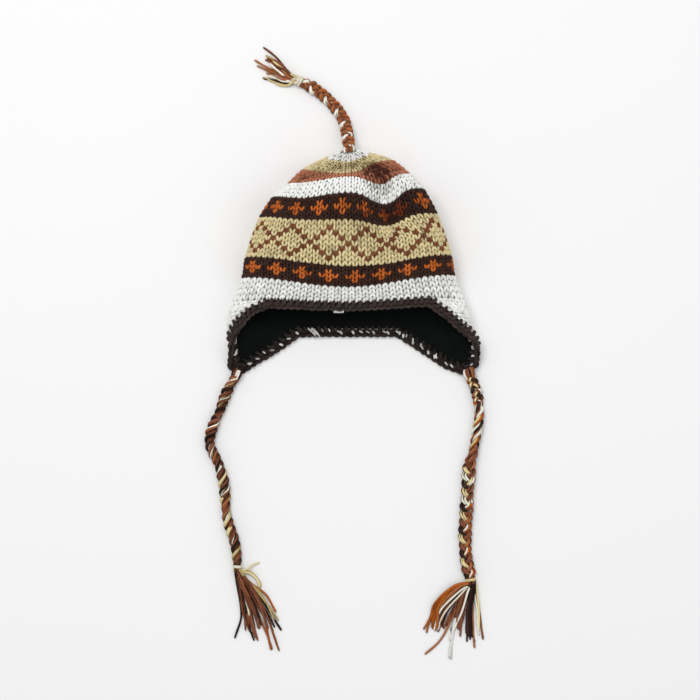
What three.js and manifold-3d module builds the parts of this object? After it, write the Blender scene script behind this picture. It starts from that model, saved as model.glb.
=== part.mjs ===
// Knitted earflap hat, lying on its back with its plaited ties laid out on the same surface.
// Millimetres. +X to the wearer's left, +Y toward the crown's top, +Z up, away from the surface.
// The origin is on the surface, under the middle of the hat without its ties.

import * as THREE from 'three';
import { mergeVertices } from 'three/addons/utils/BufferGeometryUtils.js';
import Module from 'manifold-3d';

const wasm = await Module();
wasm.setup();

// Driving dimensions
const HAT_WIDTH = 252; // across the brow, laid flat
const HAT_LENGTH = 275; // crown top to flap tips
const HAT_DEPTH = 90; // height of the crown over the surface
const KNIT_WALL = 5;
const LINING_WALL = 2;
const CLEARANCE = 0.3; // between pieces that are sewn together
const FLAP_WALL_SHARE = 0.75; // of the crown's wall
const TRIM_WIDTH = 10.4;
const TRIM_THICKNESS = 7;
const TOP_BRAID_WIDTH = 13.6;
const LEFT_BRAID_WIDTH = 11.6;
const RIGHT_BRAID_WIDTH = 12.8;
const TIE_LENGTH = 7;
const TIE_WIDTH = 10.5;
const TIE_TAPER = 0.8;
const LABEL_WIDTH = 12.2;
const LABEL_LENGTH = 17;
const LABEL_THICKNESS = 0.8;
const LABEL_SHOWN = 2.4; // past the trim
const LABEL_PLACE = -11.5; // from the middle of the front rim
const TASSEL_HEAD_SHARE = 0.45; // of the tie's width
const LOCK_ROOT_WIDTH = 6.4;
const LOCK_BELLY_WIDTH = 2.4; // added halfway
const LOCK_TIP_WIDTH = 2.6;
const LOCK_CARRY = 0.4; // share of its reach that a lock runs on along the plait's line
const LOCK_LEAN = 0.25;
const LOCK_TAPER_POWER = 1.5;

const HALF_WIDTH = HAT_WIDTH / 2;
const HALF_LENGTH = HAT_LENGTH / 2;
const WALL = KNIT_WALL + CLEARANCE + LINING_WALL;
const CROWN_SHIFT = -0.044 * HALF_WIDTH;

// How finely the surfaces are cut
const HALF_RING = 24;
const SECTION_STEPS = 30;
const TRIM_SIDES = 8;
const SHARPEST_MITRE = 0.6;
const BRAID_SIDES = 8;
const LOCK_SIDES = 5;
const LOCK_STEPS = 4;

// The roundness of the hat's section, as shares and an exponent
const LOWER_ROUND = 0.42;
const LOWER_ROUND_WIDEST = 0.7;
const UPPER_EXPONENT = 2.3;
const BACK_BEND = 0.62; // share of the back over which a course bends, before it runs straight

// Courses of knitting from the front rim to the crown's top. Widths are shares of half the hat's
// width, lengths along Y of half its length, heights of its depth.
const COURSE_COLUMNS = ['course', 'half', 'lift', 'side', 'front', 'back', 'height', 'floor'];
const COURSES = [
  [0, 1.103, 0.011, -0.324, -0.353, -0.567, 0.578, 0],
  [4, 1.016, 0.011, -0.12, -0.205, -0.378, 0.689, 0],
  [9, 0.98, 0.008, 0.058, -0.022, -0.153, 0.8, 0],
  [18, 0.845, 0.015, 0.407, 0.371, 0.255, 0.978, 0],
  [23, 0.718, 0.035, 0.602, 0.604, 0.48, 1, 0],
  [27, 0.583, 0.045, 0.726, 0.742, 0.662, 0.889, 0],
  [31, 0.425, 0.036, 0.858, 0.778, 0.807, 0.644, 0.022],
  [36, 0.159, 0.016, 0.958, 0.887, 0.953, 0.378, 0.1],
  [39, 0, 0, 1, 1, 1, 0.222, 0.222],
];
const LAST_COURSE = 39;
const RING_COURSES = [0, 2, 4.5, 8, 12, 16, 19.5, 23, 25, 27, 29, 31, 33.5, 36, 38];

// Soft folds pressed into the crown's front, in the same shares
const DENT_FLOOR = 0.4; // shares of a course's height where folds begin and reach full depth
const DENT_FULL = 0.75;
const DENT_COLUMNS = ['x', 'y', 'along', 'across', 'turn', 'depth'];
const DENTS = [
  [0.333, 0.684, 0.22, 0.127, -1.95, 0.15],
  [0.19, 0.335, 0.28, 0.127, -1.95, 0.055],
  [-0.076, 0.815, 0.22, 0.17, 0, 0.08],
];

// Levels of an ear flap from its root to its tip. Each is a curve from the back edge along the
// surface, round the turned-up side and over to the front edge.
const FLAP_COLUMNS = [
  'level', 'backX', 'backY', 'cornerX', 'turnX', 'turnZ', 'frontX', 'frontY', 'frontZ',
];
const FLAP_LEFT = [
  [1, 0.667, -0.655, 1.3, 1.286, 0.444, 0.96, -0.385, 0.456],
  [2, 0.778, -0.724, 1.286, 1.254, 0.311, 1.079, -0.48, 0.356],
  [3, 0.873, -0.775, 1.262, 1.222, 0.167, 1.159, -0.567, 0.267],
  [4, 0.952, -0.818, 1.135, 1.187, 0.089, 1.179, -0.669, 0.167],
  [5, 1.024, -0.858, 1.083, 1.119, 0.033, 1.143, -0.778, 0.083],
  [6, 1.079, -0.901, 1.095, 1.108, 0.004, 1.123, -0.877, 0.013],
];
const FLAP_RIGHT = [
  [1, 0.659, -0.698, 1.23, 1.214, 0.444, 0.897, -0.415, 0.456],
  [2, 0.754, -0.756, 1.254, 1.19, 0.311, 1.016, -0.509, 0.356],
  [3, 0.837, -0.807, 1.246, 1.19, 0.167, 1.123, -0.582, 0.267],
  [4, 0.913, -0.851, 1.145, 1.198, 0.089, 1.19, -0.676, 0.167],
  [5, 0.988, -0.877, 1.089, 1.14, 0.033, 1.165, -0.78, 0.083],
  [6, 1.056, -0.901, 1.079, 1.095, 0.004, 1.119, -0.869, 0.013],
];
const FLAP_CUTS = [1, 2, 2.7, 3.3, 3.9, 4.5, 5.2, 6];
const FLAP_CORNER_Y = 0.6; // where the level's two inner control points lie between its ends
const FLAP_TURN_Y = 1;
const FLAP_FIRST = 8; // first and last ring points that a flap grows from
const FLAP_LAST = 19;

// Routes of the plaited ties, chosen by hand, with each route's own height over the surface
const TOP_ROUTE = [
  [-4.8, 138.2, 20.5], [-7.2, 156.6, 14.5], [-12, 173.4, 8.5], [-21, 186.6, 7],
  [-32.4, 198.6, 7], [-46.8, 209.4, 7], [-60.6, 216.6, 7],
];
const LEFT_ROUTE = [
  [-140.65, -135.3, 5.9], [-148.2, -148.2, 6], [-154.8, -162.6, 6], [-159.6, -177, 6],
  [-165.6, -189.4, 6], [-170.4, -203.4, 6], [-171.6, -216.6, 6], [-166.8, -228.6, 6],
  [-160.8, -240.6, 6], [-157.2, -252.6, 6], [-154.2, -265.8, 6], [-153.2, -280.2, 6],
  [-152.4, -292.2, 6], [-150.6, -305.4, 6], [-146.9, -318.6, 6], [-142.3, -331.8, 6],
  [-139.6, -346.2, 6], [-138.7, -360.6, 6],
];
const RIGHT_ROUTE = [
  [139.8, -133.9, 6.5], [146, -148.2, 6.6], [149, -159, 6.6], [150.4, -171, 6.6],
  [151, -183, 6.6], [149.6, -195, 6.6], [147.2, -208.2, 6.6], [145.1, -220.2, 6.6],
  [142.2, -232.2, 6.6], [139.4, -243, 6.6], [138.6, -253.8, 6.6], [137.6, -268.2, 6.6],
  [136.6, -283.8, 6.6], [135.6, -300.6, 6.6], [134.5, -316.2, 6.6], [134.2, -330.6, 6.6],
  [134.7, -343.8, 6.6], [136.4, -358.2, 6.6], [139, -370.4, 6.6],
];

// Tips of each tassel's locks, chosen by hand
const TOP_LOCKS = [
  [-109.2, 259.8, 2], [-103.2, 247.6, 4], [-106.8, 243.4, 2], [-120, 244.2, 2],
  [-115.8, 237, 3], [-105.6, 229.4, 2], [-109.2, 222.6, 2], [-98, 236, 9],
];
const LEFT_LOCKS = [
  [-141.6, -449.4, 2], [-131, -444, 4], [-118.6, -451.8, 2], [-110, -440, 6],
  [-97.2, -462.6, 2], [-88.8, -465, 2], [-103, -446, 8], [-86.4, -439.8, 2],
  [-89.4, -429, 3], [-92.4, -418.2, 2],
];
const RIGHT_LOCKS = [
  [84, -439.2, 2], [92, -452, 4], [86.4, -468.6, 2], [99, -441, 7],
  [105.1, -446.2, 3], [114, -472.9, 2], [124, -455, 6], [135.6, -447, 3],
  [140.4, -452.6, 5], [145.2, -460.2, 2], [156, -451.8, 2],
];

const COLOURS = {
  whiteYarn: 0xe6e5df,
  tanYarn: 0xc9b985,
  trim: 0x3a2a28,
  lining: 0x111312,
  label: 0xe9e7e2,
  plait: 0x8a4a2a,
  thread: 0xcbbb88,
};

function yarn(colour) {
  return new THREE.MeshStandardMaterial({ color: colour, roughness: 0.95, metalness: 0 });
}

function named(columns, row) {
  return Object.fromEntries(columns.map((name, i) => [name, row[i]]));
}

// Value of one column of a table at a place along its first column, smoothly between its rows
function tableValue(table, columns, column, place) {
  const c = columns.indexOf(column);
  const last = table.length - 2;
  let i = 0;
  while (i < last && table[i + 1][0] < place) i += 1;
  const slope = (k) => {
    const low = table[Math.max(k - 1, 0)];
    const high = table[Math.min(k + 1, table.length - 1)];
    return (high[c] - low[c]) / (high[0] - low[0]);
  };
  const step = table[i + 1][0] - table[i][0];
  const t = (place - table[i][0]) / step;
  return hermite(table[i][c], table[i + 1][c], slope(i) * step, slope(i + 1) * step, t);
}

function courseValue(column, course) {
  return tableValue(COURSES, COURSE_COLUMNS, column, course);
}

function hermite(start, end, startSlope, endSlope, t) {
  const s = 1 - t;
  return start * s * s * (1 + 2 * t) + end * t * t * (3 - 2 * t)
    + startSlope * t * s * s - endSlope * t * t * s;
}

// Half of the hat's section at one course, from the front's middle over the side to the back's
function halfSection(half, height, floor) {
  const drop = height - floor;
  const cornerZ = LOWER_ROUND * drop;
  const cornerX = Math.min(cornerZ, LOWER_ROUND_WIDEST * half);
  const power = 2 / UPPER_EXPONENT;
  const points = [];
  for (let i = 0; i <= SECTION_STEPS; i += 1) {
    const a = (i / SECTION_STEPS) * Math.PI / 2;
    const x = half * Math.sin(a) ** power;
    points.push([x, floor + cornerZ + (drop - cornerZ) * Math.cos(a) ** power]);
  }
  const side = points.length - 1;
  for (let i = 1; i <= SECTION_STEPS; i += 1) {
    const a = (i / SECTION_STEPS) * Math.PI / 2;
    points.push([half - cornerX * (1 - Math.cos(a)), floor + cornerZ * (1 - Math.sin(a))]);
  }
  points.push([0, floor]);
  return { points, side };
}

function runningLengths(points) {
  const lengths = [0];
  for (let i = 1; i < points.length; i += 1) {
    const step = points[i].map((v, k) => v - points[i - 1][k]);
    lengths.push(lengths[i - 1] + Math.hypot(...step));
  }
  return lengths;
}

function pointAtShare(points, lengths, share) {
  const goal = share * lengths.at(-1);
  let i = 1;
  while (i < lengths.length - 1 && lengths[i] < goal) i += 1;
  const span = lengths[i] - lengths[i - 1];
  const t = span > 0 ? (goal - lengths[i - 1]) / span : 0;
  return points[i].map((v, k) => points[i - 1][k] + (v - points[i - 1][k]) * t);
}

function dentDepth(x, y) {
  return DENTS.reduce((sum, row) => {
    const d = named(DENT_COLUMNS, row);
    const dx = x - d.x * HALF_WIDTH;
    const dy = y - d.y * HALF_LENGTH;
    const along = (dx * Math.cos(d.turn) + dy * Math.sin(d.turn)) / (d.along * HALF_LENGTH);
    const across = (dy * Math.cos(d.turn) - dx * Math.sin(d.turn)) / (d.across * HALF_WIDTH);
    return sum + d.depth * HAT_DEPTH * Math.exp(-(along ** 2 + across ** 2) / 2);
  }, 0);
}

// A point of the knitting's outer face: side is 1 to the right and -1 to the left, share runs
// from the front's middle to the back's
function crownPoint(course, side, share) {
  const half = courseValue('half', course) * HALF_WIDTH;
  const height = courseValue('height', course) * HAT_DEPTH;
  const floor = Math.max(courseValue('floor', course), 0) * HAT_DEPTH;
  const section = halfSection(half, height, floor);
  const lengths = runningLengths(section.points);
  const turn = lengths[section.side] / Math.max(lengths.at(-1), 1e-9) || 0.5;
  const [x, z] = pointAtShare(section.points, lengths, share);
  const lift = side * courseValue('lift', course);
  const front = courseValue('front', course);
  const back = courseValue('back', course);
  const middle = courseValue('side', course) + lift;
  const fall = back - front;
  const behind = (1 - turn) * BACK_BEND;
  const y = share < turn
    ? hermite(front, middle, lift, fall * turn, share / turn)
    : hermite(middle, back, fall * behind, 0, Math.min((share - turn) / behind, 1));
  const frontness = THREE.MathUtils.smoothstep(z, DENT_FLOOR * height, DENT_FULL * height);
  const px = CROWN_SHIFT + side * x;
  const dent = dentDepth(px, y * HALF_LENGTH) * frontness;
  return new THREE.Vector3(px, y * HALF_LENGTH, Math.max(z - dent, floor));
}

function ringPoint(course, index) {
  const wrapped = index % (2 * HALF_RING);
  const right = wrapped <= HALF_RING;
  const share = (right ? wrapped : 2 * HALF_RING - wrapped) / HALF_RING;
  return crownPoint(course, right ? 1 : -1, share);
}

// One level of a flap's outer face, as a curve from its front edge to its back edge
function flapLevel(table, side, level) {
  const f = (column) => tableValue(table, FLAP_COLUMNS, column, level);
  const between = (t) => f('backY') + (f('frontY') - f('backY')) * t;
  const at = (x, y, z) => new THREE.Vector3(
    side * x * HALF_WIDTH,
    y * HALF_LENGTH,
    Math.max(z, 0) * HAT_DEPTH,
  );
  return new THREE.CubicBezierCurve3(
    at(f('frontX'), f('frontY'), f('frontZ')),
    at(f('turnX'), between(FLAP_TURN_Y), f('turnZ')),
    at(f('cornerX'), between(FLAP_CORNER_Y), 0),
    at(f('backX'), f('backY'), 0),
  );
}

// The hat's whole outer face as one sheet of points, with its triangles sorted by sub-part
function buildSheet() {
  const ring = 2 * HALF_RING;
  const points = [];
  RING_COURSES.forEach((course) => {
    for (let k = 0; k < ring; k += 1) points.push(ringPoint(course, k));
  });
  const pole = points.length;
  points.push(ringPoint(LAST_COURSE, 0));
  const crown = [];
  for (let r = 0; r < RING_COURSES.length - 1; r += 1) {
    for (let k = 0; k < ring; k += 1) {
      const next = (k + 1) % ring;
      quad(crown, r * ring + k, r * ring + next, (r + 1) * ring + next, (r + 1) * ring + k);
    }
  }
  const top = (RING_COURSES.length - 1) * ring;
  for (let k = 0; k < ring; k += 1) crown.push([top + k, top + ((k + 1) % ring), pole]);
  const right = growFlap(points, FLAP_RIGHT, 1);
  const left = growFlap(points, FLAP_LEFT, -1);
  const faces = [...crown, ...right.faces, ...left.faces];
  return { points, pole, top, ring, crown, right, left, faces };
}

function quad(faces, a, b, c, d) {
  faces.push([a, b, c], [a, c, d]);
}

function growFlap(points, table, side) {
  const columns = FLAP_LAST - FLAP_FIRST;
  const rootIndex = (k) => (side > 0 ? k : 2 * HALF_RING - k);
  const rows = [Array.from({ length: columns + 1 }, (_, j) => rootIndex(FLAP_FIRST + j))];
  FLAP_CUTS.forEach((level) => {
    const curve = flapLevel(table, side, level);
    rows.push(Array.from({ length: columns + 1 }, (_, j) => {
      points.push(curve.getPointAt(j / columns));
      return points.length - 1;
    }));
  });
  const faces = [];
  for (let r = 0; r < rows.length - 1; r += 1) {
    for (let j = 0; j < columns; j += 1) {
      const corners = [rows[r + 1][j], rows[r + 1][j + 1], rows[r][j + 1], rows[r][j]];
      quad(faces, ...(side > 0 ? corners : [corners[2], corners[1], corners[0], corners[3]]));
    }
  }
  return { faces, rows };
}

function sheetNormals(sheet) {
  const geometry = fromTriangles(sheet.points, sheet.faces.flat());
  const normals = geometry.getAttribute('normal');
  return sheet.points.map((_, i) => new THREE.Vector3().fromBufferAttribute(normals, i));
}

// The sheet's points moved inward to a depth, less in the flaps, where the wall thins out. The
// ring next to the top closes in on its point.
function layer(sheet, normals, depth) {
  const thin = (i) => (i > sheet.pole ? FLAP_WALL_SHARE : 1);
  const moved = sheet.points.map((p, i) => p.clone().addScaledVector(normals[i], -depth * thin(i)));
  for (let k = 0; k < sheet.ring; k += 1) {
    const below = moved[sheet.top - sheet.ring + k];
    moved[sheet.top + k] = below.clone().lerp(moved[sheet.pole], 0.5);
  }
  return moved;
}

// A closed shell between two layers of the same faces
function shell(faces, outer, inner) {
  const used = [...new Set(faces.flat())];
  const place = new Map(used.map((v, i) => [v, i]));
  const count = used.length;
  const index = [];
  const edges = new Map();
  faces.forEach(([a, b, c]) => {
    const [i, j, k] = [place.get(a), place.get(b), place.get(c)];
    index.push(i, j, k, i + count, k + count, j + count);
    [[i, j], [j, k], [k, i]].forEach(([from, to]) => edges.set(`${from} ${to}`, [from, to]));
  });
  edges.forEach(([from, to]) => {
    if (edges.has(`${to} ${from}`)) return;
    const far = used[from] < used[to] ? to + count : from + count;
    const near = used[from] < used[to] ? from : to;
    index.push(from, far, to, near, from + count, to + count);
  });
  const flat = [...used.map((v) => outer[v]), ...used.map((v) => inner[v])];
  return fromTriangles(flat, index);
}

function fromTriangles(points, index) {
  const geometry = new THREE.BufferGeometry();
  const flat = points.flatMap((p) => p.toArray());
  geometry.setAttribute('position', new THREE.Float32BufferAttribute(flat, 3));
  geometry.setIndex(index);
  geometry.computeVertexNormals();
  return geometry;
}

// A flap's layer with its root drawn square off the rim that it is sewn to
function clearOfRim(points, part, sheet, away) {
  const copy = points.slice();
  part.rows[0].forEach((v) => {
    const next = sheet.points[(v + 1) % sheet.ring];
    const before = sheet.points[(v + sheet.ring - 1) % sheet.ring];
    const out = next.clone().sub(before).cross(away[v]).normalize();
    copy[v] = points[v].clone().addScaledVector(out, CLEARANCE);
  });
  return copy;
}

// The hat's edge as one closed run of sheet points: front rim, right flap, back rim, left flap
function edgeRun(sheet) {
  const rim = (from, to) => Array.from({ length: to - from }, (_, k) => from + k);
  return [
    ...rim(0, FLAP_FIRST),
    ...flapEdge(sheet.right.rows),
    ...rim(FLAP_LAST + 1, sheet.ring - FLAP_LAST),
    ...flapEdge(sheet.left.rows).reverse(),
    ...rim(sheet.ring - FLAP_FIRST + 1, sheet.ring),
  ];
}

function flapEdge(rows) {
  const down = rows.map((row) => row[0]);
  const up = rows.map((row) => row.at(-1)).reverse();
  const tip = rows.at(-1);
  return [...down, tip[Math.floor(tip.length / 2)], ...up];
}

// The crocheted trim: an oval bead that follows the whole edge, just outside it, mitred at
// each point of the edge so that it stays beside both stretches that meet there
function trimGeometry(sheet, outer, inner) {
  const run = edgeRun(sheet);
  const facing = (v) => outer[v].clone().sub(inner[v]).normalize();
  const middle = run.map((v) => outer[v].clone().addScaledVector(facing(v), -TRIM_THICKNESS / 2));
  const count = run.length;
  return closedSweep(run.map((v, i) => {
    const up = facing(v);
    const before = middle[i].clone().sub(middle[(i + count - 1) % count]).normalize();
    const after = middle[(i + 1) % count].clone().sub(middle[i]).normalize();
    const along = before.add(after).normalize();
    const mitre = 1 / Math.max(along.dot(after), SHARPEST_MITRE);
    const out = along.clone().cross(up).normalize().multiplyScalar(mitre);
    const centre = middle[i].clone().addScaledVector(out, CLEARANCE + TRIM_WIDTH / 2);
    return ovalRing(centre, out, up, TRIM_WIDTH / 2, TRIM_THICKNESS / 2);
  }));
}

function ovalRing(centre, across, raise, halfWidth, halfHeight, sides = TRIM_SIDES) {
  return Array.from({ length: sides }, (_, i) => {
    const a = ((i + 0.5) / sides) * 2 * Math.PI;
    return centre.clone()
      .addScaledVector(across, halfWidth * Math.cos(a))
      .addScaledVector(raise, halfHeight * Math.sin(a));
  });
}

function closedSweep(rings) {
  const sides = rings[0].length;
  const index = [];
  rings.forEach((_, r) => {
    const next = (r + 1) % rings.length;
    for (let k = 0; k < sides; k += 1) {
      const turn = (k + 1) % sides;
      const corners = [r * sides + k, r * sides + turn, next * sides + turn, next * sides + k];
      index.push(corners[0], corners[2], corners[1], corners[0], corners[3], corners[2]);
    }
  });
  return fromTriangles(rings.flat(), index);
}

// A bare tab sewn under the front rim, in line with the trim that hides most of it
function labelMesh(sheet, outer, inner) {
  const rim = outer[0].clone().add(inner[0]).multiplyScalar(0.5);
  const up = outer[0].clone().sub(inner[0]).normalize();
  const along = new THREE.Vector3(1, 0, 0);
  const out = along.clone().cross(up).normalize();
  const depth = WALL / 2 + CLEARANCE + LABEL_THICKNESS / 2;
  const reach = TRIM_WIDTH + LABEL_SHOWN - LABEL_LENGTH / 2;
  const centre = rim.clone().addScaledVector(out, reach).addScaledVector(up, -depth);
  centre.addScaledVector(along, LABEL_PLACE);
  const box = new THREE.BoxGeometry(LABEL_WIDTH, LABEL_LENGTH, LABEL_THICKNESS);
  const mesh = meshOf('label_tab', box, COLOURS.label);
  mesh.setRotationFromMatrix(new THREE.Matrix4().makeBasis(along, out.negate(), up));
  mesh.position.copy(centre);
  return mesh;
}

function routeCurve(route) {
  return new THREE.CatmullRomCurve3(route.map((p) => new THREE.Vector3(...p)));
}

function braidGeometry(curve, width) {
  const outline = new THREE.Shape(Array.from({ length: BRAID_SIDES }, (_, i) => {
    const a = ((i + 0.5) / BRAID_SIDES) * 2 * Math.PI;
    return new THREE.Vector2(Math.cos(a) * width / 2, Math.sin(a) * width / 2);
  }));
  const steps = Math.min(80, Math.ceil(curve.getLength() / width));
  return new THREE.ExtrudeGeometry(outline, { steps, extrudePath: curve, bevelEnabled: false });
}

// The thread that is wound round the end of a plait, as a barrel
function tieMesh(name, curve) {
  const r = TIE_WIDTH / 2;
  const half = TIE_LENGTH / 2;
  const profile = [
    [0, -half], [r * TIE_TAPER, -half], [r, -half * 0.4],
    [r, half * 0.4], [r * TIE_TAPER, half], [0, half],
  ];
  const points = profile.map(([x, y]) => new THREE.Vector2(x, y));
  const mesh = meshOf(name, new THREE.LatheGeometry(points, 10), COLOURS.thread);
  const along = curve.getTangent(1);
  mesh.quaternion.setFromUnitVectors(new THREE.Vector3(0, 1, 0), along);
  mesh.position.copy(curve.getPoint(1)).addScaledVector(along, half + CLEARANCE);
  return mesh;
}

// One lock of loose yarn, tapering from the tie to its tip
function lockGeometry(root, along, tip) {
  const reach = tip.distanceTo(root);
  const middle = root.clone().addScaledVector(along, LOCK_CARRY * reach);
  middle.lerp(tip, LOCK_LEAN);
  const curve = new THREE.QuadraticBezierCurve3(root, middle, tip);
  const rings = [];
  for (let i = 0; i <= LOCK_STEPS; i += 1) {
    const t = i / LOCK_STEPS;
    const ahead = curve.getTangent(t);
    const across = ahead.clone().cross(new THREE.Vector3(0, 0, 1)).normalize();
    const raise = across.clone().cross(ahead).normalize();
    const taper = THREE.MathUtils.lerp(LOCK_ROOT_WIDTH, LOCK_TIP_WIDTH, t ** LOCK_TAPER_POWER);
    const r = (taper + LOCK_BELLY_WIDTH * Math.sin(Math.PI * t)) / 2;
    rings.push(ovalRing(curve.getPoint(t), across, raise, r, r, LOCK_SIDES));
  }
  return cappedSweep(rings);
}

function cappedSweep(rings) {
  const sides = rings[0].length;
  const index = [];
  for (let r = 0; r < rings.length - 1; r += 1) {
    for (let k = 0; k < sides; k += 1) {
      const turn = (k + 1) % sides;
      const low = r * sides;
      const high = low + sides;
      index.push(low + k, high + k, high + turn, low + k, high + turn, low + turn);
    }
  }
  const last = (rings.length - 1) * sides;
  for (let k = 1; k < sides - 1; k += 1) {
    index.push(0, k, k + 1, last, last + k + 1, last + k);
  }
  return fromTriangles(rings.flat(), index);
}

function toManifold(geometry) {
  const bare = geometry.clone();
  bare.deleteAttribute('normal');
  bare.deleteAttribute('uv');
  const merged = mergeVertices(bare, 1e-4);
  const vertProperties = new Float32Array(merged.getAttribute('position').array);
  const triVerts = new Uint32Array(merged.getIndex().array);
  return new wasm.Manifold(new wasm.Mesh({ numProp: 3, vertProperties, triVerts }));
}

function fromManifold(solid) {
  const mesh = solid.getMesh();
  const geometry = new THREE.BufferGeometry();
  geometry.setAttribute('position', new THREE.BufferAttribute(mesh.vertProperties, 3));
  geometry.setIndex(new THREE.BufferAttribute(mesh.triVerts, 1));
  geometry.computeVertexNormals();
  return geometry;
}

// Locks of yarn fused to a round head that sits against the tie
function tasselGeometry(curve, tips) {
  const along = curve.getTangent(1);
  const start = TIE_LENGTH + 2 * CLEARANCE;
  const head = TIE_WIDTH * TASSEL_HEAD_SHARE;
  const centre = curve.getPoint(1).addScaledVector(along, start + head);
  const ball = new THREE.IcosahedronGeometry(head, 1);
  ball.translate(centre.x, centre.y, centre.z);
  const solids = [toManifold(ball)];
  tips.forEach((tip) => {
    solids.push(toManifold(lockGeometry(centre, along, new THREE.Vector3(...tip))));
  });
  return fromManifold(solids.reduce((sum, solid) => sum.add(solid)));
}

function meshOf(name, geometry, colour) {
  const mesh = new THREE.Mesh(geometry, yarn(colour));
  mesh.name = name;
  return mesh;
}

function hatMeshes() {
  const sheet = buildSheet();
  const normals = sheetNormals(sheet);
  const face = sheet.points;
  const knitInside = layer(sheet, normals, KNIT_WALL);
  const liningOutside = layer(sheet, normals, KNIT_WALL + CLEARANCE);
  const liningInside = layer(sheet, normals, WALL);
  const flap = (name, part) => {
    const [outer, inner] = [face, knitInside].map((p) => clearOfRim(p, part, sheet, normals));
    return meshOf(name, shell(part.faces, outer, inner), COLOURS.whiteYarn);
  };
  return [
    meshOf('knit_crown', shell(sheet.crown, face, knitInside), COLOURS.tanYarn),
    flap('ear_flap_right', sheet.right),
    flap('ear_flap_left', sheet.left),
    meshOf('lining', shell(sheet.faces, liningOutside, liningInside), COLOURS.lining),
    meshOf('edge_trim', trimGeometry(sheet, face, liningInside), COLOURS.trim),
    labelMesh(sheet, face, liningInside),
  ];
}

function plaitMeshes(place, route, width, tips) {
  const curve = routeCurve(route);
  return [
    meshOf(`braid_${place}`, braidGeometry(curve, width), COLOURS.plait),
    tieMesh(`tie_${place}`, curve),
    meshOf(`tassel_${place}`, tasselGeometry(curve, tips), COLOURS.plait),
  ];
}

const hat = new THREE.Group();
hat.add(
  ...hatMeshes(),
  ...plaitMeshes('top', TOP_ROUTE, TOP_BRAID_WIDTH, TOP_LOCKS),
  ...plaitMeshes('left', LEFT_ROUTE, LEFT_BRAID_WIDTH, LEFT_LOCKS),
  ...plaitMeshes('right', RIGHT_ROUTE, RIGHT_BRAID_WIDTH, RIGHT_LOCKS),
);

export default hat;
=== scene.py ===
"""A knitted earflap hat lying on its back, with its three plaited ties laid out beside it.

Lengths are millimetres until a mesh is made, which is in metres. +X is to the right as seen from
above, +Y runs toward the crown's top and +Z up, away from the surface that the hat lies on.
"""

import logging
import math
from dataclasses import dataclass, field
from enum import Enum
from typing import Callable, Sequence

import bpy
import numpy as np
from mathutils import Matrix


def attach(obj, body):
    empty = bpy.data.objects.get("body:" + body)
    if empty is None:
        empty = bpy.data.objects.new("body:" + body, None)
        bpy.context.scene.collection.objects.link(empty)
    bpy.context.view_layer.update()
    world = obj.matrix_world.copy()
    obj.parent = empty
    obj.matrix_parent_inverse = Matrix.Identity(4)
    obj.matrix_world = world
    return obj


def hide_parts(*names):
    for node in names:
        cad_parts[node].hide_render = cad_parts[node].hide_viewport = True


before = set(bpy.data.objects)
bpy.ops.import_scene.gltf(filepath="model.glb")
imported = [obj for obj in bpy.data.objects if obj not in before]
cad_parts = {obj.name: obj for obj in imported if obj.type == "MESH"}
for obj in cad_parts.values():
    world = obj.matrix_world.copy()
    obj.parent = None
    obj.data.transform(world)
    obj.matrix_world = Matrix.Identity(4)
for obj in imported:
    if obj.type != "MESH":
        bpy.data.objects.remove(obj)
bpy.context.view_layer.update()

Array = np.ndarray
Triple = tuple[float, float, float]
Place = Callable[..., tuple[Array, Array]]
Socket = bpy.types.NodeSocket

LOG = logging.getLogger("hat")
BODY = "root"
MM = 0.001
HALF_WIDTH = 126.0
HALF_LENGTH = 137.5
HAT_DEPTH = 90.0
KNIT_WALL = 5.0
LINING_WALL = 2.0
CLEARANCE = 0.3
TRIM_WIDTH = 10.4
FLAP_WALL_SHARE = 0.75
CROWN_SHIFT = -0.044 * HALF_WIDTH
LOWER_ROUND = 0.42
LOWER_ROUND_WIDEST = 0.7
UPPER_EXPONENT = 2.3
BACK_BEND = 0.62
SECTION_STEPS = 30
DENT_FLOOR = 0.4
DENT_FULL = 0.75
FLAP_CORNER_Y = 0.6
FLAP_FIRST = 8 / 48
FLAP_LAST = 19 / 48
LAST_COURSE = 39
# The webs' inner layers are this light; the webs show between stitches as painted shade.
WEB_SHADE_TINT = 0.12

# Each course's number, half width, lift of its right side, and the Y of its sides, front and back,
# then its top's height and its bottom's, as shares of the hat's sizes.
COURSES = np.array([
    [0, 1.103, 0.011, -0.324, -0.353, -0.567, 0.578, 0],
    [4, 1.016, 0.011, -0.12, -0.205, -0.378, 0.689, 0],
    [9, 0.98, 0.008, 0.058, -0.022, -0.153, 0.8, 0],
    [18, 0.845, 0.015, 0.407, 0.371, 0.255, 0.978, 0],
    [23, 0.718, 0.035, 0.602, 0.604, 0.48, 1, 0],
    [27, 0.583, 0.045, 0.726, 0.742, 0.662, 0.889, 0],
    [31, 0.425, 0.036, 0.858, 0.778, 0.807, 0.644, 0.022],
    [36, 0.159, 0.016, 0.958, 0.887, 0.953, 0.378, 0.1],
    [39, 0, 0, 1, 1, 1, 0.222, 0.222],
])
# The X, Y, length, width, turn and depth of each soft fold in the crown's front.
DENTS = (
    (0.333, 0.684, 0.22, 0.127, -1.95, 0.15),
    (0.19, 0.335, 0.28, 0.127, -1.95, 0.055),
    (-0.076, 0.815, 0.22, 0.17, 0, 0.08),
)
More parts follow.
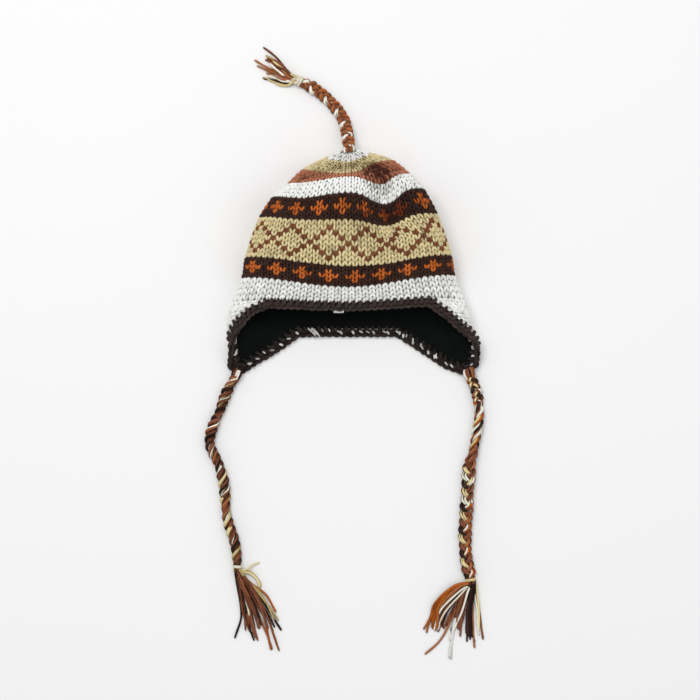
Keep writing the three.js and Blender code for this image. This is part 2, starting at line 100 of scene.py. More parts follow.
# What a row of a flap's table says after its level, as shares of the hat's sizes.
FLAP_COLUMNS = ("backX", "backY", "cornerX", "turnX", "turnZ", "frontX", "frontY", "frontZ")
FLAP_LEFT = np.array([
    [1, 0.667, -0.655, 1.3, 1.286, 0.444, 0.96, -0.385, 0.456],
    [2, 0.778, -0.724, 1.286, 1.254, 0.311, 1.079, -0.48, 0.356],
    [3, 0.873, -0.775, 1.262, 1.222, 0.167, 1.159, -0.567, 0.267],
    [4, 0.952, -0.818, 1.135, 1.187, 0.089, 1.179, -0.669, 0.167],
    [5, 1.024, -0.858, 1.083, 1.119, 0.033, 1.143, -0.778, 0.083],
    [6, 1.079, -0.901, 1.095, 1.108, 0.004, 1.123, -0.877, 0.013],
])
FLAP_RIGHT = np.array([
    [1, 0.659, -0.698, 1.23, 1.214, 0.444, 0.897, -0.415, 0.456],
    [2, 0.754, -0.756, 1.254, 1.19, 0.311, 1.016, -0.509, 0.356],
    [3, 0.837, -0.807, 1.246, 1.19, 0.167, 1.123, -0.582, 0.267],
    [4, 0.913, -0.851, 1.145, 1.198, 0.089, 1.19, -0.676, 0.167],
    [5, 0.988, -0.877, 1.089, 1.14, 0.033, 1.165, -0.78, 0.083],
    [6, 1.056, -0.901, 1.079, 1.095, 0.004, 1.119, -0.869, 0.013],
])
FLAP_CUTS = (1, 2, 2.7, 3.3, 3.9, 4.5, 5.2, 6)


class Yarn(Enum):
    """The yarns and cloths that the hat is made of, with their materials' names."""

    WHITE = "wool_white"
    DARK = "wool_dark_brown"
    ORANGE = "wool_orange"
    TAN = "wool_tan"
    RUST = "wool_rust"
    BRICK = "wool_brick"
    TRIM = "wool_trim"
    FLEECE = "fleece_black"
    LABEL = "label_tape"
    PLAIT_RUST = "wool_plait_rust"
    PLAIT_BROWN = "wool_plait_brown"
    PLAIT_DARK = "wool_plait_dark"
    PLAIT_CREAM = "wool_plait_cream"
    PLAIT_KHAKI = "wool_plait_khaki"
    PLAIT_ORANGE = "wool_plait_orange"
    PLAIT_GREY = "wool_plait_grey"


def srgb(red: int, green: int, blue: int) -> Triple:
    """A colour as eyes see it turned into linear light.

    Args:
        red: from 0 to 255.
        green: from 0 to 255.
        blue: from 0 to 255.

    Returns:
        Linear red, green and blue from 0 to 1.
    """
    def one(value: int) -> float:
        """One channel in linear light."""
        share = value / 255
        return share / 12.92 if share <= 0.04045 else ((share + 0.055) / 1.055) ** 2.4

    return one(red), one(green), one(blue)


class NodeWork:
    """Lays out one material's nodes."""

    def __init__(self, name: str) -> None:
        """Starts an empty material.

        Args:
            name: the material's name.
        """
        self.made = bpy.data.materials.new(name)
        self.made.use_nodes = True
        self.tree = self.made.node_tree
        self.tree.nodes.clear()
        self.shader = self.node("ShaderNodeBsdfPrincipled")
        out = self.node("ShaderNodeOutputMaterial")
        self.link(self.shader.outputs["BSDF"], out.inputs["Surface"])

    def node(self, kind: str, **settings: object) -> bpy.types.Node:
        """Adds a node.

        Args:
            kind: the node's type.
            settings: its properties.

        Returns:
            The node.
        """
        made = self.tree.nodes.new(kind)
        for key, value in settings.items():
            setattr(made, key, value)
        return made

    def link(self, start: Socket, end: Socket) -> None:
        """Joins two sockets."""
        self.tree.links.new(start, end)

    def noise(self, coords: Socket, scale: float, detail: float, rough: float) -> Socket:
        """Adds a noise pattern.

        Args:
            coords: the coordinates that it is laid out in.
            scale: cells in a unit of length.
            detail: how many finer layers it has.
            rough: how strong the finer layers are.

        Returns:
            Its value, around 0.5.
        """
        made = self.node("ShaderNodeTexNoise")
        for name, value in (("Scale", scale), ("Detail", detail), ("Roughness", rough)):
            made.inputs[name].default_value = value
        self.link(coords, made.inputs["Vector"])
        return made.outputs["Fac"]

    def math(self, kind: str, *values: object) -> Socket:
        """Adds a sum in one node.

        Args:
            kind: what the node does.
            values: numbers or sockets.

        Returns:
            Its result.
        """
        made = self.node("ShaderNodeMath", operation=kind)
        for i, value in enumerate(values):
            if isinstance(value, (int, float)):
                made.inputs[i].default_value = value
            else:
                self.link(value, made.inputs[i])
        return made.outputs[0]

    def waves(self, coords: Socket, across: float, along: float, crossed: bool) -> Socket:
        """Draws even ridges in a piece's own coordinates.

        Args:
            coords: the coordinates.
            across: how fast the ridges follow each other in X.
            along: how fast they follow each other in Y.
            crossed: whether one set crosses another, as in a weave, or they lean as one set.

        Returns:
            A value from 0 between ridges to 1 on them.
        """
        split = self.node("ShaderNodeSeparateXYZ")
        self.link(coords, split.inputs[0])
        x, y = (self.math("MULTIPLY", split.outputs[axis], rate)
                for axis, rate in (("X", across), ("Y", along)))
        if crossed:
            wave = self.math("MULTIPLY", self.math("SINE", x), self.math("SINE", y))
        else:
            wave = self.math("SINE", self.math("ADD", x, y))
        return self.math("MULTIPLY_ADD", wave, 0.5, 0.5)

    def sum_of(self, parts: Sequence[tuple[Socket, float]], start: float) -> Socket:
        """Adds up values with weights.

        Args:
            parts: pairs of a value and its weight.
            start: what the sum begins at.

        Returns:
            The sum.
        """
        total = start
        for value, weight in parts:
            total = self.math("MULTIPLY_ADD", value, weight, total)
        return total

    def colour(self, value: Socket, *stops: tuple[float, Triple]) -> None:
        """Colours the surface by a value.

        Args:
            value: from 0 to 1.
            stops: places along it with their linear colours.
        """
        ramp = self.node("ShaderNodeValToRGB")
        elements = ramp.color_ramp.elements
        while len(elements) < len(stops):
            elements.new(0.5)
        for element, (place, colour) in zip(elements, stops):
            element.position = place
            element.color = (*colour, 1)
        self.link(value, ramp.inputs["Fac"])
        self.link(ramp.outputs["Color"], self.shader.inputs["Base Color"])

    def surface(self, roughness: float, sheen: float) -> None:
        """Sets what is the same all over the surface.

        Args:
            roughness: how matt it is.
            sheen: how much its fibres catch the light.
        """
        for name, value in (("Roughness", roughness), ("Sheen Weight", sheen),
                            ("Sheen Roughness", 0.5), ("Specular IOR Level", 0.1)):
            self.shader.inputs[name].default_value = value

    def bump(self, height: Socket, strength: float, distance: float) -> None:
        """Raises the surface's shading by a height.

        Args:
            height: the relief, from 0 to 1.
            strength: how much of it shows.
            distance: how tall it is, in millimetres.
        """
        made = self.node("ShaderNodeBump")
        made.inputs["Strength"].default_value = strength
        made.inputs["Distance"].default_value = distance * MM
        self.link(height, made.inputs["Height"])
        self.link(made.outputs["Normal"], self.shader.inputs["Normal"])


@dataclass(frozen=True)
class YarnFinish:
    """A woollen yarn: plies along its own length, fine fibres, and drifts of its colour."""

    light: tuple[int, int, int]
    dark: tuple[int, int, int]
    drift: float = 0.25
    roughness: float = 0.92
    sheen: float = 0.06
    plies: int = 3
    ply_length: float = 5.5
    relief: float = 0.55
    relief_height: float = 0.45
    mottle: Triple = (260, 3, 0.6)
    broad: Triple = (55, 2, 0.5)
    fibre: Triple = (2600, 2, 0.7)

    def material(self, name: str) -> bpy.types.Material:
        """Makes the yarn's material.

        Args:
            name: its name.

        Returns:
            The material.
        """
        work = NodeWork(name)
        coords = work.node("ShaderNodeTexCoord").outputs
        mottle, broad, fibre = (
            work.noise(coords["Object"], *layer) for layer in (self.mottle, self.broad, self.fibre))
        turns = 2 * math.pi * self.plies
        plies = work.waves(coords["UV"], turns, turns / self.ply_length, False)
        # The tint holds each yarn's own tone and the painted shade laid on it.
        tint = work.node("ShaderNodeAttribute", attribute_name="tint").outputs["Fac"]
        shade = work.sum_of(
            [(mottle, 0.35), (fibre, 0.35), (plies, 0.3), (tint, 1.0), (broad, self.drift)],
            -0.46 - 0.5 * self.drift)
        light = srgb(*self.light)
        lightest = tuple(min(1.0, c * 1.18 + 0.01) for c in light)
        work.colour(shade, (0.0, srgb(*self.dark)), (0.62, light), (1.0, lightest))
        work.bump(work.sum_of([(plies, 0.75), (fibre, 0.25)], 0.0), self.relief, self.relief_height)
        work.surface(self.roughness, self.sheen)
        return work.made


@dataclass(frozen=True)
class FleeceFinish:
    """A napped black lining cloth, dull, with a short clumped nap."""

    light: tuple[int, int, int] = (17, 20, 20)
    dark: tuple[int, int, int] = (4, 6, 6)
    clumps: Triple = (420, 4, 0.65)
    broad: Triple = (30, 2, 0.5)
    nap: float = 0.6

    def material(self, name: str) -> bpy.types.Material:
        """Makes the fleece.

        Args:
            name: the material's name.

        Returns:
            The material.
        """
        work = NodeWork(name)
        coords = work.node("ShaderNodeTexCoord").outputs["Object"]
        clumps, broad = work.noise(coords, *self.clumps), work.noise(coords, *self.broad)
        work.colour(work.sum_of([(clumps, 0.8), (broad, 0.4)], -0.1),
                    (0.25, srgb(*self.dark)), (0.85, srgb(*self.light)))
        work.bump(clumps, 0.6, self.nap)
        work.surface(0.95, 0.03)
        return work.made


@dataclass(frozen=True)
class TapeFinish:
    """A narrow tape in a fine plain weave, for the bare label."""

    light: tuple[int, int, int] = (255, 255, 252)
    dark: tuple[int, int, int] = (232, 231, 226)
    warp: float = 150.0
    weft: float = 210.0
    soil: Triple = (6, 3, 0.6)
    relief_height: float = 0.15

    def material(self, name: str) -> bpy.types.Material:
        """Makes the tape.

        Args:
            name: the material's name.

        Returns:
            The material.
        """
        work = NodeWork(name)
        coords = work.node("ShaderNodeTexCoord").outputs["UV"]
        weave = work.waves(coords, self.warp, self.weft, True)
        soil = work.noise(coords, *self.soil)
        work.colour(work.sum_of([(weave, 0.5), (soil, 0.5)], 0.0),
                    (0.1, srgb(*self.dark)), (0.7, srgb(*self.light)))
        work.bump(weave, 0.4, self.relief_height)
        work.surface(0.7, 0.05)
        return work.made


FINISHES = {
    Yarn.WHITE: YarnFinish((243, 243, 239), (142, 143, 136)),
    Yarn.DARK: YarnFinish((60, 36, 27), (18, 8, 5)),
    Yarn.ORANGE: YarnFinish((198, 104, 42), (100, 42, 14), drift=0.5),
    Yarn.TAN: YarnFinish((222, 206, 158), (112, 90, 50), drift=0.4),
    Yarn.RUST: YarnFinish((128, 74, 46), (62, 28, 12)),
    Yarn.BRICK: YarnFinish((176, 112, 82), (70, 28, 14), drift=0.9),
    Yarn.TRIM: YarnFinish((62, 50, 47), (22, 16, 14)),
    Yarn.FLEECE: FleeceFinish(),
    Yarn.LABEL: TapeFinish(),
    Yarn.PLAIT_RUST: YarnFinish((166, 102, 62), (84, 38, 16)),
    Yarn.PLAIT_BROWN: YarnFinish((132, 80, 56), (52, 20, 8)),
    Yarn.PLAIT_DARK: YarnFinish((58, 35, 27), (20, 9, 6)),
    Yarn.PLAIT_CREAM: YarnFinish((250, 246, 230), (176, 164, 134)),
    Yarn.PLAIT_KHAKI: YarnFinish((238, 222, 164), (146, 124, 72)),
    Yarn.PLAIT_ORANGE: YarnFinish((186, 98, 30), (96, 42, 8)),
    Yarn.PLAIT_GREY: YarnFinish((240, 240, 236), (170, 170, 164)),
}


def unit(vectors: Array) -> Array:
    """The vectors at a length of one."""
    return vectors / np.maximum(np.linalg.norm(vectors, axis=-1, keepdims=True), 1e-9)


def square_to(vectors: Array, along: Array) -> Array:
    """The vectors without their part along a direction, at a length of one."""
    return unit(vectors - along * np.sum(vectors * along, -1, keepdims=True))


def above(points: Array, height: float) -> Array:
    """The points, each raised to a height if it is lower."""
    return np.maximum(points, (-np.inf, -np.inf, height))


def between(values: Array, near: object, far: object, share: Array) -> Array:
    """The values at a share of the way from some places in an array to others."""
    return values[near] * (1 - share) + values[far] * share


def reach_along(line: Array) -> Array:
    """How far along a line each of its points lies."""
    return np.concatenate([[0], np.cumsum(np.linalg.norm(np.diff(line, axis=0), axis=1))])


def read_line(line: Array, reach: Array, wanted: Array) -> Array:
    """A line's points at wanted distances along it."""
    return np.stack([np.interp(wanted, reach, values) for values in line.T], 1)


def hermite(start: object, end: object, leave: object, arrive: object, t: object) -> Array:
    """A smooth step from one value to another.

    Args:
        start: the first value.
        end: the last value.
        leave: the slope at the start.
        arrive: the slope at the end.
        t: how far along, from 0 to 1.

    Returns:
        The value there.
    """
    s = 1 - t
    return (start * s * s * (1 + 2 * t) + end * t * t * (3 - 2 * t)
            + leave * t * s * s - arrive * t * t * s)


def smooth_through(rows: Array, places: Array, wanted: Array) -> Array:
    """Values on smooth curves through rows of values.

    Args:
        rows: the values at each place, of any shape.
        places: where the rows lie, going up.
        wanted: where values are wanted.

    Returns:
        A row of values for each wanted place.
    """
    low = np.maximum(np.arange(len(rows)) - 1, 0)
    high = np.minimum(np.arange(len(rows)) + 1, len(rows) - 1)
    shape = (-1,) + (1,) * (rows.ndim - 1)
    slopes = (rows[high] - rows[low]) / (places[high] - places[low]).reshape(shape)
    i = np.clip(np.searchsorted(places, wanted, side="right") - 1, 0, len(rows) - 2)
    step = (places[i + 1] - places[i]).reshape(shape)
    t = (wanted - places[i]).reshape(shape) / step
    return hermite(rows[i], rows[i + 1], slopes[i] * step, slopes[i + 1] * step, t)


def smooth_line(points: Sequence[Sequence[float]], step: float) -> Array:
    """A smooth line through points, in even steps.

    Args:
        points: the points.
        step: the distance between the line's points.

    Returns:
        The line's points.
    """
    rows = np.array(points, dtype=float)
    gaps = np.sqrt(np.linalg.norm(np.diff(rows, axis=0), axis=1))
    places = np.concatenate([[0], np.cumsum(gaps)])
    fine = smooth_through(rows, places, np.linspace(0, places[-1], 60 * len(rows)))
    reach = reach_along(fine)
    wanted = np.linspace(0, reach[-1], max(4, int(round(reach[-1] / step)) + 1))
    return read_line(fine, reach, wanted)


def line_frames(line: Array) -> tuple[Array, Array, Array]:
    """Directions along, beside and over a line."""
    along = unit(np.gradient(line, axis=0))
    side = unit(np.cross(along, np.array([0, 0, 1.0])))
    return along, side, np.cross(side, along)


class MeshMaker:
    """Gathers faces of four corners and makes one piece of them."""

    made_materials: dict[Yarn, bpy.types.Material] = {}

    def __init__(self, name: str) -> None:
        """Starts an empty piece.

        Args:
            name: the piece's name.
        """
        self.name = name
        self.count = 0
        self.yarns: list[Yarn] = []
        self.points: list[Array] = []
        self.tints: list[Array] = []
        self.corners: list[Array] = []
        self.maps: list[Array] = []
        self.slots: list[Array] = []

    def faces(self, corners: Array, maps: Array, yarn: Yarn) -> None:
        """Adds faces.

        Args:
            corners: the four points of each face.
            maps: a place in the texture map for each corner of each face.
            yarn: what they are made of.
        """
        if yarn not in self.yarns:
            self.yarns.append(yarn)
        self.corners.append(corners.ravel())
        self.maps.append(maps.reshape(-1, 2))
        self.slots.append(np.full(corners.size // 4, self.yarns.index(yarn)))

    def vertices(self, points: Array, tints: Array) -> int:
        """Adds points.

        Args:
            points: the points, in millimetres.
            tints: how light each one is, around 0.5.

        Returns:
            The first one's number.
        """
        first = self.count
        self.points.append(points.reshape(-1, 3))
        self.tints.append(tints.ravel())
        self.count += len(self.points[-1])
        return first

    def grid(self, points: Array, yarn: Yarn, closed: bool, flip: bool, tint: float) -> None:
        """Adds a sheet of points in rows.

        Args:
            points: rows, columns and three coordinates.
            yarn: what it is made of.
            closed: whether its last column joins its first.
            flip: whether its faces look the other way.
            tint: how light it is.
        """
        rows, columns = points.shape[:2]
        r, c = np.meshgrid(
            np.arange(rows - 1), np.arange(columns if closed else columns - 1), indexing="ij")
        nxt = (c + 1) % columns
        faces = np.stack(
            [r * columns + c, r * columns + nxt, (r + 1) * columns + nxt, (r + 1) * columns + c],
            -1).reshape(-1, 4)
        maps = np.stack([np.stack([c, c + 1, c + 1, c], -1).reshape(-1, 4) / columns,
                         np.stack([r, r, r + 1, r + 1], -1).reshape(-1, 4) / rows], -1)
        if flip:
            faces, maps = faces[:, ::-1], maps[:, ::-1]
        first = self.vertices(points, np.full(rows * columns, tint))
        self.faces(faces + first, maps, yarn)

    def slab(self, outer: Array, inner: Array, yarn: Yarn, flip: bool, tint: float) -> None:
        """Adds two layers of a sheet and the strips that join their four edges.

        Args:
            outer: the outer layer's rows.
            inner: the inner layer's rows.
            yarn: what it is made of.
            flip: whether the outer layer's faces look the other way.
            tint: how light it is.
        """
        for sheet, turn in (
            (outer, False), (inner, True),
            (np.stack([outer[0], inner[0]]), True), (np.stack([outer[-1], inner[-1]]), False),
            (np.stack([outer[:, 0], inner[:, 0]]), False),
            (np.stack([outer[:, -1], inner[:, -1]]), True),
        ):
            self.grid(sheet, yarn, False, turn != flip, tint)

    def sleeve(
        self, outer: Array, inner: Array, yarn: Yarn, tint: float = 0.5, inner_tint: float = 0.5,
    ) -> None:
        """Adds two closed layers and the strips that join their ends.

        Args:
            outer: the outer layer's rows.
            inner: the inner layer's rows.
            yarn: what it is made of.
            tint: how light the outer layer is.
            inner_tint: how light the rest is.
        """
        self.grid(outer, yarn, True, False, tint)
        self.grid(inner, yarn, True, True, inner_tint)
        for row, flip in ((0, True), (-1, False)):
            self.grid(np.stack([outer[row], inner[row]]), yarn, True, flip, inner_tint)

    def tubes(
        self, paths: Array, radii: Array, facing: Array, yarn: Yarn, tints: Array,
        sides: int = 6, shading: float = 0.22,
    ) -> None:
        """Adds lengths of yarn that all have as many rings, with closed ends.

        Args:
            paths: for each yarn its centre line, in rings.
            radii: for each yarn its radius at each ring.
            facing: a direction off the line at each ring, toward its lit side.
            yarn: what they are made of.
            tints: how light each yarn is, or each of its rings.
            sides: how many sides a ring has, an even number.
            shading: how much painted shade darkens a yarn toward its hidden side.
        """
        count, rings = paths.shape[:2]
        along = unit(np.gradient(paths, axis=1))
        up = square_to(facing, along)
        across = np.cross(up, along)
        angles = 2 * math.pi * (np.arange(sides) + 0.5) / sides
        ring = (across[:, :, None] * np.cos(angles)[:, None]
                + up[:, :, None] * np.sin(angles)[:, None])
        steps = np.linalg.norm(np.diff(paths, axis=1), axis=-1)
        reach = np.concatenate([np.zeros((count, 1)), np.cumsum(steps, 1)], 1)
        shade = np.broadcast_to(tints.reshape(count, -1), (count, rings))[..., None]
        # Painted shade: each ring is darker toward the yarn's hidden side.
        first = self.vertices(paths[:, :, None] + ring * radii[:, :, None, None],
                              shade + shading * (np.sin(angles) - 0.35))
        base = first + (np.arange(count) * rings * sides)[:, None, None]
        r = np.arange(rings - 1)[None, :, None] * sides
        k = np.arange(sides)[None, None, :]
        nxt = (k + 1) % sides
        faces = np.stack(
            [base + r + k, base + r + nxt, base + r + sides + nxt, base + r + sides + k], -1)
        u = np.broadcast_to(np.stack([k, k + 1, k + 1, k], -1) / sides, faces.shape)
        low, high = reach[:, :-1, None], reach[:, 1:, None]
        v = np.broadcast_to(np.stack([low, low, high, high], -1), faces.shape)
        self.faces(faces, np.stack([u, v], -1), yarn)
        fan = np.array([[0, i, i + 1, i + 2] for i in range(1, sides - 1, 2)])
        caps = np.concatenate([fan[:, ::-1], fan + (rings - 1) * sides])[None] + base
        self.faces(caps, np.zeros((caps.size, 2)), yarn)

    def strand(
        self, path: Array, radii: object, yarn: Yarn, tint: object, shading: float = 0.22,
        start: Sequence[float] = (0, 0, 1),
    ) -> None:
        """Adds one length of yarn, turned as little as its line lets it.

        Args:
            path: its line.
            radii: its radius, or one at each point.
            yarn: what it is made of.
            tint: how light it is, all along or at each point.
            shading: how much painted shade darkens it toward its hidden side.
            start: a direction off the line at its first point.
        """
        along = unit(np.gradient(path, axis=0))
        facing = [np.array(start, dtype=float)]
        for direction in along:
            facing.append(square_to(facing[-1], direction))
        self.tubes(path[None], np.broadcast_to(radii, len(path))[None], np.stack(facing[1:])[None],
                   yarn, np.atleast_1d(tint), shading=shading)

    def make(self, slot: str, *nodes: str) -> bpy.types.Object:
        """Makes the piece.

        Args:
            slot: not used.
            nodes: the plain solids that it takes the place of.

        Returns:
            The piece.
        """
        mesh = bpy.data.meshes.new(self.name)
        corners = np.concatenate(self.corners).astype(np.int32)
        count = len(corners) // 4
        # Nothing goes below the surface that the hat lies on.
        points = above(np.concatenate(self.points), 0.0)
        mesh.vertices.add(self.count)
        mesh.vertices.foreach_set("co", (points * MM).ravel())
        mesh.loops.add(len(corners))
        mesh.polygons.add(count)
        for name, values in (
            ("loop_start", np.arange(count, dtype=np.int32) * 4),
            ("vertices", corners),
            ("material_index", np.concatenate(self.slots).astype(np.int32)),
            ("use_smooth", np.ones(count, dtype=bool)),
        ):
            mesh.polygons.foreach_set(name, values)
        maps = np.concatenate(self.maps).astype(np.float32)
        mesh.uv_layers.new(name="Yarn").data.foreach_set("uv", maps.ravel())
        tints = np.concatenate(self.tints).astype(np.float32)
        mesh.attributes.new("tint", "FLOAT", "POINT").data.foreach_set("value", tints)
        mesh.update(calc_edges=True)
        mesh.validate(verbose=False)
        for yarn in self.yarns:
            if yarn not in self.made_materials:
                self.made_materials[yarn] = FINISHES[yarn].material(yarn.value)
            mesh.materials.append(self.made_materials[yarn])
        piece = bpy.data.objects.new(self.name, mesh)
        bpy.context.scene.collection.objects.link(piece)
        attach(piece, BODY)
        if nodes:
            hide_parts(*nodes)
        LOG.info("%s: %d faces", self.name, count)
        return piece


class Sheet:
    """A smooth sheet in rows with its outward directions, which can be read between its points."""

    def __init__(self, grid: Array, closed: bool, fineness: float, flip: bool = False) -> None:
        """Works out the outward directions.

        Args:
            grid: rows, columns and three coordinates.
            closed: whether the last column joins the first.
            fineness: how many rows there are in one step of a place down the sheet.
            flip: whether outward is the other side.
        """
        self.grid, self.closed, self.fineness = grid, closed, fineness
        if closed:
            across = np.roll(grid, -1, 1) - np.roll(grid, 1, 1)
        else:
            across = np.gradient(grid, axis=1)
        facing = np.cross(across, np.gradient(grid, axis=0))
        self.normals = unit(facing) * (-1 if flip else 1)
        weak = np.linalg.norm(facing, axis=-1) < 1e-6
        for r in np.nonzero(weak.any(1))[0]:
            self.normals[r] = unit(self.normals[r - 1 if r else 1].mean(0))

    def at(self, down: object, share: object, depth: object = 0.0) -> tuple[Array, Array]:
        """Points in or under the sheet.

        Args:
            down: how far down the sheet.
            share: how far across or round, from 0 to 1.
            depth: how far under the face.

        Returns:
            The points, and the outward directions there.
        """
        rows, columns = self.grid.shape[:2]
        row, share, depth = np.broadcast_arrays(np.asarray(down) * self.fineness, share, depth)
        i = np.clip(np.floor(row).astype(int), 0, rows - 2)
        f = (row - i)[..., None]
        if self.closed:
            column = (share % 1.0) * columns
            g = (column - np.floor(column))[..., None]
            j = np.floor(column).astype(int) % columns
            k = (j + 1) % columns
        else:
            column = share * (columns - 1)
            j = np.clip(np.floor(column).astype(int), 0, columns - 2)
            g = (column - j)[..., None]
            k = j + 1
        points, normals = (
            between(a, (i, j), (i, k), g) * (1 - f) + between(a, (i + 1, j), (i + 1, k), g) * f
            for a in (self.grid, self.normals))
        normals = unit(normals)
        return points - normals * depth[..., None], normals


class CrownSkin(Sheet):
    """The knitting's outer face from the rim to the crown's top.

    Places down it are courses. Places round it are turns, 0 at the front's middle and rising to
    the right.
    """

    STEP = 0.25
    TURNS = 288

    def __init__(self) -> None:
        """Lays out the face."""
        courses = np.arange(0, LAST_COURSE + 1e-6, self.STEP)
        values = smooth_through(COURSES[:, 1:], COURSES[:, 0], courses)
        turns = np.arange(self.TURNS) / self.TURNS
        super().__init__(np.stack([self.ring(row, turns) for row in values]), True, 1 / self.STEP)

    def ring(self, row: Array, turns: Array) -> Array:
        """One course's points round the hat.

        Args:
            row: the course's values, in the columns' order.
            turns: places round the hat.

        Returns:
            The points.
        """
        half, lift, middle, front, back, top, floor = row
        half, height = half * HALF_WIDTH, top * HAT_DEPTH
        floor = max(floor, 0) * HAT_DEPTH
        section = self.half_section(half, height, floor)
        reach = reach_along(section)
        turn = reach[SECTION_STEPS] / reach[-1] if reach[-1] > 1e-6 else 0.5
        share = np.where(turns <= 0.5, 2 * turns, 2 - 2 * turns)
        side = np.where(turns <= 0.5, 1.0, -1.0)
        x, z = read_line(section, reach, share * reach[-1]).T
        lift = side * lift
        behind = (1 - turn) * BACK_BEND
        fall = back - front
        y = np.where(
            share < turn,
            hermite(front, middle + lift, lift, fall * turn, np.minimum(share / turn, 1)),
            hermite(middle + lift, back, fall * behind, 0, np.clip((share - turn) / behind, 0, 1)))
        x, y = CROWN_SHIFT + side * x, y * HALF_LENGTH
        ease = np.clip((z / max(height, 1e-6) - DENT_FLOOR) / (DENT_FULL - DENT_FLOOR), 0, 1)
        dent = self.dents(x, y) * ease * ease * (3 - 2 * ease)
        return np.stack([x, y, np.maximum(z - dent, floor)], 1)

    @staticmethod
    def half_section(half: float, height: float, floor: float) -> Array:
        """Half of the hat's section at one course.

        Args:
            half: half its width.
            height: its top's height.
            floor: its bottom's height.

        Returns:
            Points from the front's middle over the side to the back's, as X and Z.
        """
        drop = height - floor
        corner_z = LOWER_ROUND * drop
        corner_x = min(corner_z, LOWER_ROUND_WIDEST * half)
        power = 2 / UPPER_EXPONENT
        a = np.linspace(0, math.pi / 2, SECTION_STEPS + 1)
        rise = np.clip(np.cos(a), 0, 1) ** power
        upper = np.stack([half * np.sin(a) ** power, floor + corner_z + (drop - corner_z) * rise], 1)
        low = a[1:]
        lower = np.stack(
            [half - corner_x * (1 - np.cos(low)), floor + corner_z * (1 - np.sin(low))], 1)
        return np.vstack([upper, lower, [[0, floor]]])

    @staticmethod
    def dents(x: Array, y: Array) -> Array:
        """How deep the soft folds are.

        Args:
            x: places seen from above.
            y: the same places.

        Returns:
            The depth at each.
        """
        total = np.zeros_like(x)
        for cx, cy, long, wide, turn, depth in DENTS:
            dx, dy = x - cx * HALF_WIDTH, y - cy * HALF_LENGTH
            along = (dx * math.cos(turn) + dy * math.sin(turn)) / (long * HALF_LENGTH)
            across = (dy * math.cos(turn) - dx * math.sin(turn)) / (wide * HALF_WIDTH)
            total += depth * HAT_DEPTH * np.exp(-(along ** 2 + across ** 2) / 2)
        return total


class FlapSkin(Sheet):
    """An ear flap's outer face.

    Places down it run from 0 at the rim to 1 at its tip, and across it from its front edge to its
    back edge.
    """

    COLUMNS = 67
    ROWS = 60

    def __init__(self, crown: CrownSkin, table: Array, side: int) -> None:
        """Lays out the face.

        Args:
            crown: the face that the flap hangs from.
            table: the flap's levels.
            side: 1 on the right and -1 on the left.
        """
        self.side = side
        shares = np.linspace(0, 1, self.COLUMNS)
        turns = FLAP_FIRST + (FLAP_LAST - FLAP_FIRST) * shares
        turns = turns if side > 0 else 1 - turns
        rows = [crown.at(course, turns)[0] for course in (2.0, 0.0)]
        rows += [self.level(table, level, shares) for level in FLAP_CUTS]
        gaps = np.linalg.norm(np.diff(np.stack(rows), axis=0), axis=-1).mean(1)
        places = np.concatenate([[0], np.cumsum(gaps)])
        self.length = places[-1] - places[1]
        wanted = np.linspace(places[1], places[-1], self.ROWS)
        fine = above(smooth_through(np.stack(rows), places, wanted), 0.0)
        super().__init__(fine, False, self.ROWS - 1, flip=side > 0)

    def level(self, table: Array, level: float, shares: Array) -> Array:
        """One level of the flap.

        Args:
            table: the flap's levels.
            level: which level.
            shares: places from its front edge to its back edge.

        Returns:
            The points there.
        """
        values = smooth_through(table[:, 1:], table[:, 0], np.array([float(level)]))[0]
        f = dict(zip(FLAP_COLUMNS, values))
        rise = f["frontY"] - f["backY"]
        hooks = np.array([
            [f["frontX"], f["frontY"], max(f["frontZ"], 0)],
            [f["turnX"], f["backY"] + rise, max(f["turnZ"], 0)],
            [f["cornerX"], f["backY"] + rise * FLAP_CORNER_Y, 0],
            [f["backX"], f["backY"], 0],
        ]) * [self.side * HALF_WIDTH, HALF_LENGTH, HAT_DEPTH]
        t = np.linspace(0, 1, 201)[:, None]
        s = 1 - t
        line = (hooks[0] * s ** 3 + hooks[1] * 3 * s * s * t + hooks[2] * 3 * s * t * t
                + hooks[3] * t ** 3)
        reach = reach_along(line)
        return read_line(line, reach, shares * reach[-1])

    def width(self, down: float) -> float:
        """The flap's width along its face at one place down it."""
        return float(reach_along(self.at(down, np.linspace(0, 1, 60))[0])[-1])


